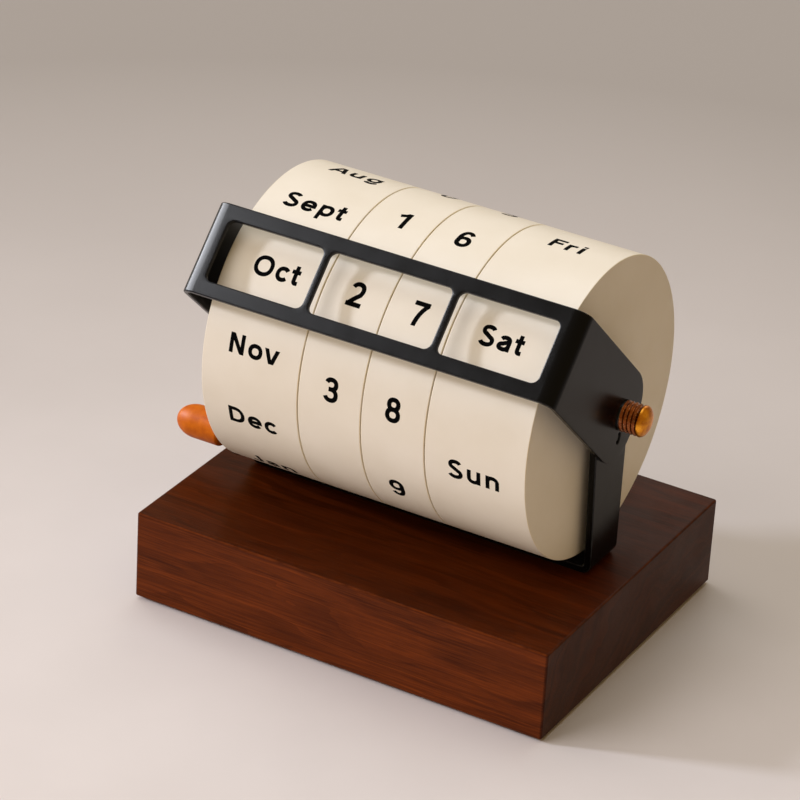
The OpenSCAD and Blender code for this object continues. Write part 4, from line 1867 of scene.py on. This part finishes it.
@dataclass(frozen=True)
class WindowFrame:
    """Bent black sheet with three windows and a side plate at each end."""

    reading_angle: float = 43.0
    face_r: float = 56.3
    sheet_t: float = 1.8
    height: float = 30.8
    drop: float = 1.0
    window_h: float = 20.8
    bar_w: float = 2.1
    seam_x: float = 22.8
    window_r: float = 2.4
    window_margin: float = 7.1
    bend_r: float = 5.0
    tip_reach: float = 11.0
    tip_r: float = 12.4
    rod_hole_r: float = 3.05
    easing: float = 0.4
    slot: IndexSlot = IndexSlot()

    def window(self, x0: float, x1: float) -> list[BentPoint]:
        """Window's outline between two places along the axle, clockwise.

        Args:
            x0: left side.
            x1: right side.

        Returns:
            The outline.
        """
        low = -self.window_h / 2 - self.drop
        high = self.window_h / 2 - self.drop
        corners = [(x0, low), (x0, high), (x1, high), (x1, low)]
        return rounded([(x, y, self.window_r) for x, y in corners], steps=8)

    def holes(self, outside: float, axle: float) -> list[list[BentPoint]]:
        """Windows, rod holes and slots of the flat pattern.

        Args:
            outside: how far out the side plates' outer faces lie once they are bent.
            axle: how far out the axle's holes lie.

        Returns:
            The holes' outlines, clockwise.
        """
        slope = math.radians(self.reading_angle)
        pin = self.slot.place()
        outwards = pin.y * math.sin(slope) - pin.x * math.cos(slope)
        up_slope = pin.x * math.sin(slope) + pin.y * math.cos(slope)
        near, far = self.seam_x + self.bar_w / 2, outside - self.window_margin
        inner = self.seam_x - self.bar_w / 2
        holes = [self.window(-inner, inner), self.window(near, far), self.window(-far, -near)]
        for side in Side:
            sign = side.value
            holes.append(round_hole(sign * axle, 0.0, self.rod_hole_r))
            centre = Vector((sign * (axle - outwards), up_slope))
            holes.append(self.slot.outline(centre, Vector((-sign * outwards, up_slope))))
        return holes

    def build(self) -> None:
        """The flat pattern, folded and set on its slope."""
        outside = cad_box("window_frame")[1].x
        fold = Fold(outside - self.bend_r, self.bend_r, self.sheet_t, steps=14)
        axle = fold.end() + self.face_r - self.bend_r
        end = axle + self.tip_reach
        low, high = -self.height / 2 - self.drop, self.height / 2 - self.drop
        corners = [(-end, low), (end, low), (end, high), (-end, high)]
        outline = rounded([(x, y, self.tip_r) for x, y in corners], steps=14)
        sheet = plate(outline, self.holes(outside, axle), -self.sheet_t, 0.0, self.easing)
        slope = math.radians(self.reading_angle)
        lift = (0.0, -self.face_r * math.cos(slope), AXLE_Z + self.face_r * math.sin(slope))
        piece = fold.make("window_sheet", sheet, BLACK, math.pi / 2 - slope, lift)
        complete(piece, BLACK, Body.STAND, "window_frame")


class RingKind(Enum):
    """How a ring carries its wall."""

    WALL_AT_LOW_END = "month"
    WALL_AT_HIGH_END = "weekday"
    WALL_IN_MIDDLE = "day"


@dataclass(frozen=True)
class DateRing:
    """One lettered ring that turns on the sleeve."""

    body: Body
    kind: RingKind
    labels: tuple[str, ...]
    shown: str
    text_x: float
    inscription: Inscription
    reading_angle: float = 43.0
    rim_t: float = 3.0
    wall_t: float = 2.6
    hub_t: float = 3.0
    hub_bore_r: float = 8.02
    hub_inset: float = 0.7
    rim_easing: float = 0.3
    edge_easing: float = 0.3
    bore_easing: float = 0.2
    fillet: float = 0.9
    rib_t: float = 1.6
    rib_count: int = 6
    rib_h: float = 7.0

    def section(self, width: float, outer: float) -> list[BentPoint]:
        """Closed half section, measured from the end that carries the wall.

        Args:
            width: length along the axle.
            outer: outer radius.

        Returns:
            The section.
        """
        bore, soft = self.hub_bore_r, self.fillet
        hub, rim = bore + self.hub_t, outer - self.rim_t
        near, far, edge = self.hub_inset, width - self.hub_inset, self.edge_easing
        far_half = [(width, rim, edge), (width, outer, self.rim_easing), (0.0, outer, self.rim_easing)]
        if self.kind is RingKind.WALL_IN_MIDDLE:
            wall, back = (width - self.wall_t) / 2, (width + self.wall_t) / 2
            corners = [
                (near, bore, self.bore_easing), (far, bore, self.bore_easing), (far, hub, edge),
                (back, hub, soft), (back, rim, soft), *far_half,
                (0.0, rim, edge), (wall, rim, soft), (wall, hub, soft), (near, hub, edge),
            ]
        else:
            corners = [
                (0.0, bore, self.bore_easing), (far, bore, self.bore_easing), (far, hub, edge),
                (self.wall_t, hub, soft), (self.wall_t, rim, soft), *far_half,
            ]
        return rounded(corners, steps=5)

    def ribs(self, start: float, direction: float, outer: float) -> Object:
        """Stiffening ribs behind the wall.

        Args:
            start: end of the ring that carries the wall.
            direction: 1 or -1, the way inwards from there.
            outer: outer radius.

        Returns:
            The ribs, as one object.
        """
        ends = sorted((start + direction * self.wall_t / 2, start + direction * self.rib_h))
        low = (ends[0], -self.rib_t / 2, self.hub_bore_r + self.hub_t / 2)
        high = (ends[1], self.rib_t / 2, outer - self.rim_t / 2)
        ribs = new_object("ribs", block(low, high))
        run_tree(ribs, spokes_tree(), IVORY, Count=self.rib_count, Axis_Z=AXLE_Z)
        return ribs

    def build(self) -> None:
        """The ring and its lettering."""
        node = f"{self.body.value}_ring"
        low, high = cad_box(node)
        width, outer = high.x - low.x, (high.z - low.z) / 2
        direction = -1.0 if self.kind is RingKind.WALL_AT_HIGH_END else 1.0
        start = high.x if direction < 0 else low.x
        section = self.section(width, outer)
        points = [(start + direction * along, radius, edge) for along, radius, edge in section]
        ring = turned(node + "_cast", points, True, IVORY, Sides=256)
        if self.kind is not RingKind.WALL_IN_MIDDLE:
            absorb(ring, self.ribs(start, direction, outer))
        complete(ring, IVORY, self.body, node)
        step = 360 / len(self.labels)
        shown = self.labels.index(self.shown)
        labels = [
            (label, math.radians(self.reading_angle - (k - shown) * step) * outer)
            for k, label in enumerate(self.labels) if label
        ]
        text = self.inscription.sheet(node + "_lettering", labels, self.text_x)
        run_tree(text, wrap_tree(), INK, Radius=outer, Axis_Z=AXLE_Z)
        complete(text, INK, self.body)


@dataclass(frozen=True)
class AxleSet:
    """The threaded rod, and the washers and spring in the row of rings."""

    rings: tuple[str, ...] = ("month", "tens", "ones", "weekday")
    rod_r: float = 3.0
    rod_pitch: float = 1.0
    rod_thread: float = 0.45
    rod_chamfer: float = 0.6
    bore_r: float = 6.05
    small_bore_r: float = 3.05
    easing: float = 0.12
    end_play: float = 0.2
    spring_t: float = 0.7

    def eased(self, corners: list[Point]) -> list[BentPoint]:
        """Closed half section with eased edges."""
        return rounded([(along, radius, self.easing) for along, radius in corners], steps=3)

    def washers(self, node: str, spans: list[Point], inner: float, finish: Finish) -> None:
        """Washers of one CAD node, each between two places along the axle.

        Args:
            node: the CAD node.
            spans: start and end of each washer.
            inner: radius of its bore.
            finish: finish that it wears.
        """
        low, high = cad_box(node)
        outer = (high.z - low.z) / 2
        made = []
        for start, end in spans:
            section = self.eased([(start, inner), (end, inner), (end, outer), (start, outer)])
            made.append(turned(node + "_turned", section, True, finish))
        absorb(made[0], *made[1:])
        complete(made[0], finish, Body.STAND, node)

    def rod(self) -> None:
        """The rod, threaded from end to end."""
        half = cad_box("axle_rod")[1].x
        section = threaded_bar(-half, half, self.rod_r, self.rod_r - self.rod_chamfer, self.rod_pitch)
        rod = turned(
            "threaded_rod", section, False, BRASS, Sides=32, Pitch=self.rod_pitch,
            Depth=self.rod_thread, Start=-half, End=half, Run_Out=1.0, Sharpness=1.4,
        )
        complete(rod, BRASS, Body.STAND, "axle_rod", sharp=50)

    def drum_washers(self) -> None:
        """Washers between the rings and at both ends of their row."""
        boxes = [cad_box(f"{ring}_ring") for ring in self.rings]
        gaps = [(before[1].x + after[0].x) / 2 for before, after in zip(boxes, boxes[1:])]
        low, high = cad_box("ring_washers")
        half = (high.x - low.x - (gaps[-1] - gaps[0])) / 2
        spans = [(middle - half, middle + half) for middle in gaps]
        self.washers("ring_washers", spans, self.bore_r, BRASS)
        low, high = cad_box("end_washers")
        spans = [(low.x, boxes[0][0].x - self.end_play), (boxes[-1][1].x + self.end_play, high.x)]
        self.washers("end_washers", spans, self.bore_r, BRASS)

    def spring(self) -> None:
        """The dished spring that gives the rings their drag."""
        low, high = cad_box("disc_spring")
        outer = (high.z - low.z) / 2
        section = self.eased([
            (high.x - self.spring_t, self.bore_r), (high.x, self.bore_r),
            (low.x + self.spring_t, outer), (low.x, outer),
        ])
        piece = turned("disc_spring_pressed", section, True, STEEL)
        complete(piece, STEEL, Body.STAND, "disc_spring")

    def build(self) -> None:
        """All turned pieces on the rod, and the CAD nodes kept among them."""
        self.rod()
        self.drum_washers()
        self.spring()
        for node, clamped in (("frame_spacers", "stand_bracket"), ("knob_washers", "window_frame")):
            low, high = cad_box(node)
            inner = cad_box(clamped)[1].x
            self.washers(node, [(low.x, -inner), (inner, high.x)], self.small_bore_r, STEEL)
        carry_over("axle_sleeve", STEEL)
        carry_over("index_pins", BLACK)
        for ring in self.rings:
            carry_over(f"{ring}_bush", NYLON)


@dataclass(frozen=True)
class AxleKnob:
    """Screwed knob on one end of the rod: a threaded barrel with a domed cap."""

    side: Side
    radius: float = 5.15
    barrel_l: float = 6.0
    dome_h: float = 2.7
    dome_foot: float = 0.12
    dome_inset: float = 0.3
    dome_steps: int = 14
    bore_r: float = 3.05
    cap_t: float = 1.0
    thread_pitch: float = 1.45
    thread_depth: float = 0.55
    thread_steps: int = 12
    root: float = 0.35
    root_play: float = 0.1
    foot_play: float = 0.02

    def build(self) -> None:
        """The barrel and the dome, on the knob's own body."""
        node = f"{self.side.name.lower()}_knob"
        body = Body(node)
        low, high = cad_box(node)
        sign = self.side.value
        foot = low.x if sign > 0 else high.x
        steps = round(self.barrel_l / self.thread_pitch * self.thread_steps)
        places = [max(self.barrel_l * k / steps, self.foot_play) for k in range(steps)]
        crest = [(place, self.radius, 0.0) for place in places]
        bore, root_r = self.barrel_l - self.cap_t, self.radius - self.root
        barrel = [
            (bore, 0.0, 0.0), (bore, self.bore_r, 0.0), (self.foot_play, self.bore_r, 0.0),
            *crest, (self.barrel_l, root_r, 0.0), (self.barrel_l, 0.0, 0.0),
        ]
        ends = sorted((foot, foot + sign * self.barrel_l))
        piece = turned(
            node + "_barrel", [(foot + sign * a, r, e) for a, r, e in barrel], False, RUSSET,
            Pitch=self.thread_pitch, Depth=self.thread_depth, Start=ends[0], End=ends[1],
            Run_Out=0.3, Sharpness=1.6, Least_Radius=root_r - self.root_play,
        )
        complete(piece, RUSSET, body, node, sharp=55)
        rim, rise = self.barrel_l + self.dome_foot, self.dome_h - self.dome_foot
        cap = [
            (self.barrel_l, 0.0, 0.0), (self.barrel_l, self.radius - self.dome_inset, 0.0),
            *dome(rim, rise, self.radius, self.dome_steps),
        ]
        piece = turned(node + "_dome", [(foot + sign * a, r, e) for a, r, e in cap], False, GOLD)
        complete(piece, GOLD, body, node)


@dataclass(frozen=True)
class RingLock:
    """Thumbscrew in the left upright's lug that presses a pad on the month ring."""

    collar_r: float = 4.6
    neck_r: float = 3.45
    bore_r: float = 2.05
    stud_r: float = 2.0
    thread_pitch: float = 0.5
    thread_depth: float = 0.28
    stud_chamfer: float = 0.4
    knob_r: float = 5.6
    knob_bore_easing: float = 0.2
    knob_easing: float = 0.8
    dome_l: float = 7.6
    dome_steps: int = 24
    collar_easing: float = 0.5
    easing: float = 0.25

    def insert(self) -> None:
        """The threaded insert in the lug."""
        low, high = cad_box("lock_insert")
        lug = -cad_box("stand_bracket")[1].x
        corners = [
            (low.x, self.bore_r, self.easing), (high.x, self.bore_r, self.easing),
            (high.x, self.neck_r, self.easing), (lug, self.neck_r, 0.0),
            (lug, self.collar_r, self.easing), (low.x, self.collar_r, self.collar_easing),
        ]
        piece = turned("lock_insert_turned", rounded(corners, steps=4), True, LOCK_BRASS, **LOCK_AXIS)
        complete(piece, LOCK_BRASS, Body.STAND, "lock_insert")

    def stud(self) -> None:
        """The threaded stud that carries the knob."""
        low, high = cad_box("lock_stud")
        tip_r = self.stud_r - self.stud_chamfer
        section = threaded_bar(low.x, high.x, self.stud_r, tip_r, self.thread_pitch)
        piece = turned(
            "lock_stud_threaded", section, False, LOCK_BRASS,
            **{**LOCK_AXIS, "Sides": 32}, Pitch=self.thread_pitch, Depth=self.thread_depth,
            Start=low.x, End=high.x, Run_Out=0.8, Sharpness=1.4,
        )
        complete(piece, LOCK_BRASS, Body.LOCK_SCREW, "lock_stud", sharp=60)

    def knob(self) -> None:
        """The knob, which ends in a long dome."""
        low, high = cad_box("lock_knob")
        rim = low.x + self.dome_l
        corners = [
            (high.x, self.stud_r, self.knob_bore_easing), (high.x, self.knob_r, self.knob_easing),
            (rim, self.knob_r, 0.0),
        ]
        section = [
            (rim, 0.0, 0.0), (rim, self.stud_r, 0.0), *rounded(corners, steps=5, closed=False),
            *dome(rim, -self.dome_l, self.knob_r, self.dome_steps)[1:],
        ]
        piece = turned("lock_knob_dome", section, False, AMBER, **{**LOCK_AXIS, "Sides": 96})
        complete(piece, AMBER, Body.LOCK_SCREW, "lock_knob")

    def build(self) -> None:
        """Insert, stud and knob, and the CAD pad."""
        self.insert()
        self.stud()
        self.knob()
        carry_over("lock_pad", NYLON)


@dataclass(frozen=True)
class Studio:
    """Pale floor, soft lights and the camera."""

    floor_half: float = 6.0
    azimuth: float = 28.513
    elevation: float = 28.32
    roll: float = 3.465
    distance: float = 1265.957
    target: Place = (-13.546, 0.0, 66.763)
    focal_px: float = 3934.0
    image_px: float = 800.0
    sensor: float = 36.0

    def lay_floor(self) -> None:
        """The table top, which isn't part of the calendar."""
        shape = bmesh.new()
        bmesh.ops.create_grid(shape, x_segments=1, y_segments=1, size=self.floor_half)
        floor = new_object("table_top", shape)
        floor.data.materials.append(TABLE.material())

    def shine(
        self, name: str, direction: Place, distance: float, size: Point, power: float, colour: Colour,
        turn: float = 0.0,
    ) -> Object:
        """Adds an area light.

        Args:
            name: name of the light.
            direction: the way from the calendar to the light.
            distance: how far away it hangs, in metres.
            size: its width and height, in metres.
            power: its power in watts.
            colour: its colour.
            turn: how far it is turned about its own middle line, in degrees.

        Returns:
            The light.
        """
        lamp = bpy.data.lights.new(name, "AREA")
        lamp.shape = "RECTANGLE"
        lamp.size, lamp.size_y = size
        lamp.energy = power
        lamp.color = colour[:3]
        held = bpy.data.objects.new(name, lamp)
        bpy.context.scene.collection.objects.link(held)
        away = Vector(direction).normalized()
        held.location = Vector(self.target) * MM + away * distance
        spin = Quaternion((0, 0, 1), math.radians(turn))
        held.rotation_euler = (away.to_track_quat("Z", "Y") @ spin).to_euler()
        return held

    def shiny_pieces(self) -> bpy.types.Collection:
        """The enamelled, lacquered and metal pieces, which alone mirror the strip.

        Returns:
            A collection of them.
        """
        finishes = (BLACK, AMBER, GOLD, RUSSET, BRASS, LOCK_BRASS, STEEL, ZINC)
        names = {finish.name for finish in finishes}
        shiny = bpy.data.collections.new("shiny_pieces")
        for piece in bpy.context.scene.objects:
            if piece.type == "MESH" and names & {look.name for look in piece.data.materials if look}:
                shiny.objects.link(piece)
        return shiny

    def light(self) -> None:
        """Low key at the left, soft cards, a slanting strip for the bend and warm surroundings."""
        self.shine("key", (-0.857, -0.365, 0.363), 5.0, (0.5, 0.5), 176.0, srgb(227, 235, 255))
        self.shine("sky", (-0.1, 0.2, 0.97), 3.0, (2.0, 2.0), 27.0, srgb(213, 234, 255))
        self.shine("back", (-0.137, 0.868, 0.477), 3.0, (2.0, 1.5), 9.0, srgb(255, 255, 255))
        fill = self.shine("fill", (-0.5, -0.65, 0.57), 3.0, (1.8, 1.8), 37.0, srgb(249, 247, 255))
        high = self.shine("high", (-0.6, 0.1, 0.79), 3.0, (1.8, 1.8), 18.0, srgb(255, 255, 255))
        strip = self.shine(
            "strip", (-0.867, -0.218, 0.449), 1.6, (1.9, 0.4), 58.0, srgb(246, 248, 255), turn=43,
        )
        for card in (fill, high):
            card.visible_glossy = False
        strip.visible_diffuse = False
        strip.light_linking.receiver_collection = self.shiny_pieces()
        world = bpy.data.worlds.new("surroundings")
        world.use_nodes = True
        sky = next(n for n in world.node_tree.nodes if n.type == "BACKGROUND")
        sky.inputs["Color"].default_value = srgb(255, 221, 162)
        sky.inputs["Strength"].default_value = 0.36
        bpy.context.scene.world = world
        bpy.context.scene.view_settings.view_transform = "Standard"

    def set_camera(self) -> None:
        """Camera at the reader's three-quarter view."""
        az, el, roll = (math.radians(a) for a in (self.azimuth, self.elevation, self.roll))
        back = Vector((math.sin(az) * math.cos(el), -math.cos(az) * math.cos(el), math.sin(el)))
        right = Vector((math.cos(az), math.sin(az), 0.0))
        up = back.cross(right)
        across = right * math.cos(roll) + up * math.sin(roll)
        upright = up * math.cos(roll) - right * math.sin(roll)
        lens = bpy.data.cameras.new("reader")
        lens.sensor_width = self.sensor
        lens.lens = self.focal_px * self.sensor / self.image_px
        camera = bpy.data.objects.new("reader", lens)
        bpy.context.scene.collection.objects.link(camera)
        turn = Matrix((across, upright, back)).transposed().to_4x4()
        place = (Vector(self.target) + back * self.distance) * MM
        camera.matrix_world = Matrix.Translation(place) @ turn
        bpy.context.scene.camera = camera

    def build(self) -> None:
        """Everything round the calendar."""
        self.lay_floor()
        self.light()
        self.set_camera()


MONTHS = ("Jan", "Feb", "Mar", "Apr", "May", "June", "July", "Aug", "Sept", "Oct", "Nov", "Dec")
WEEKDAYS = ("Mon", "Tue", "Wed", "Thu", "Fri", "Sat", "Sun")
TENS = ("0", "1", "2", "3", "") * 2
ONES = tuple("0123456789")


def main() -> None:
    """Builds the pieces in order."""
    logging.basicConfig(level=logging.INFO, format="%(name)s: %(message)s")
    words = Inscription(StrokeFont(pen=0.21), cap=6.55)
    digits = Inscription(StrokeFont(pen=0.187), cap=8.1)
    screws = Screws()
    strap_top = cad_box("base_screws")[1].z
    screws.build(strap_top)
    Base().build(screws, strap_top)
    Bracket().build(screws)
    WindowFrame().build()
    for ring in (
        DateRing(Body.MONTH, RingKind.WALL_AT_LOW_END, MONTHS, "Oct", -39.8, words),
        DateRing(Body.TENS, RingKind.WALL_IN_MIDDLE, TENS, "2", -11.2, digits),
        DateRing(Body.ONES, RingKind.WALL_IN_MIDDLE, ONES, "7", 11.05, digits),
        DateRing(Body.WEEKDAY, RingKind.WALL_AT_HIGH_END, WEEKDAYS, "Sat", 40.1, words),
    ):
        ring.build()
    AxleSet().build()
    for side in Side:
        AxleKnob(side).build()
    RingLock().build()
    Studio().build()


if __name__ == "__main__":
    main()
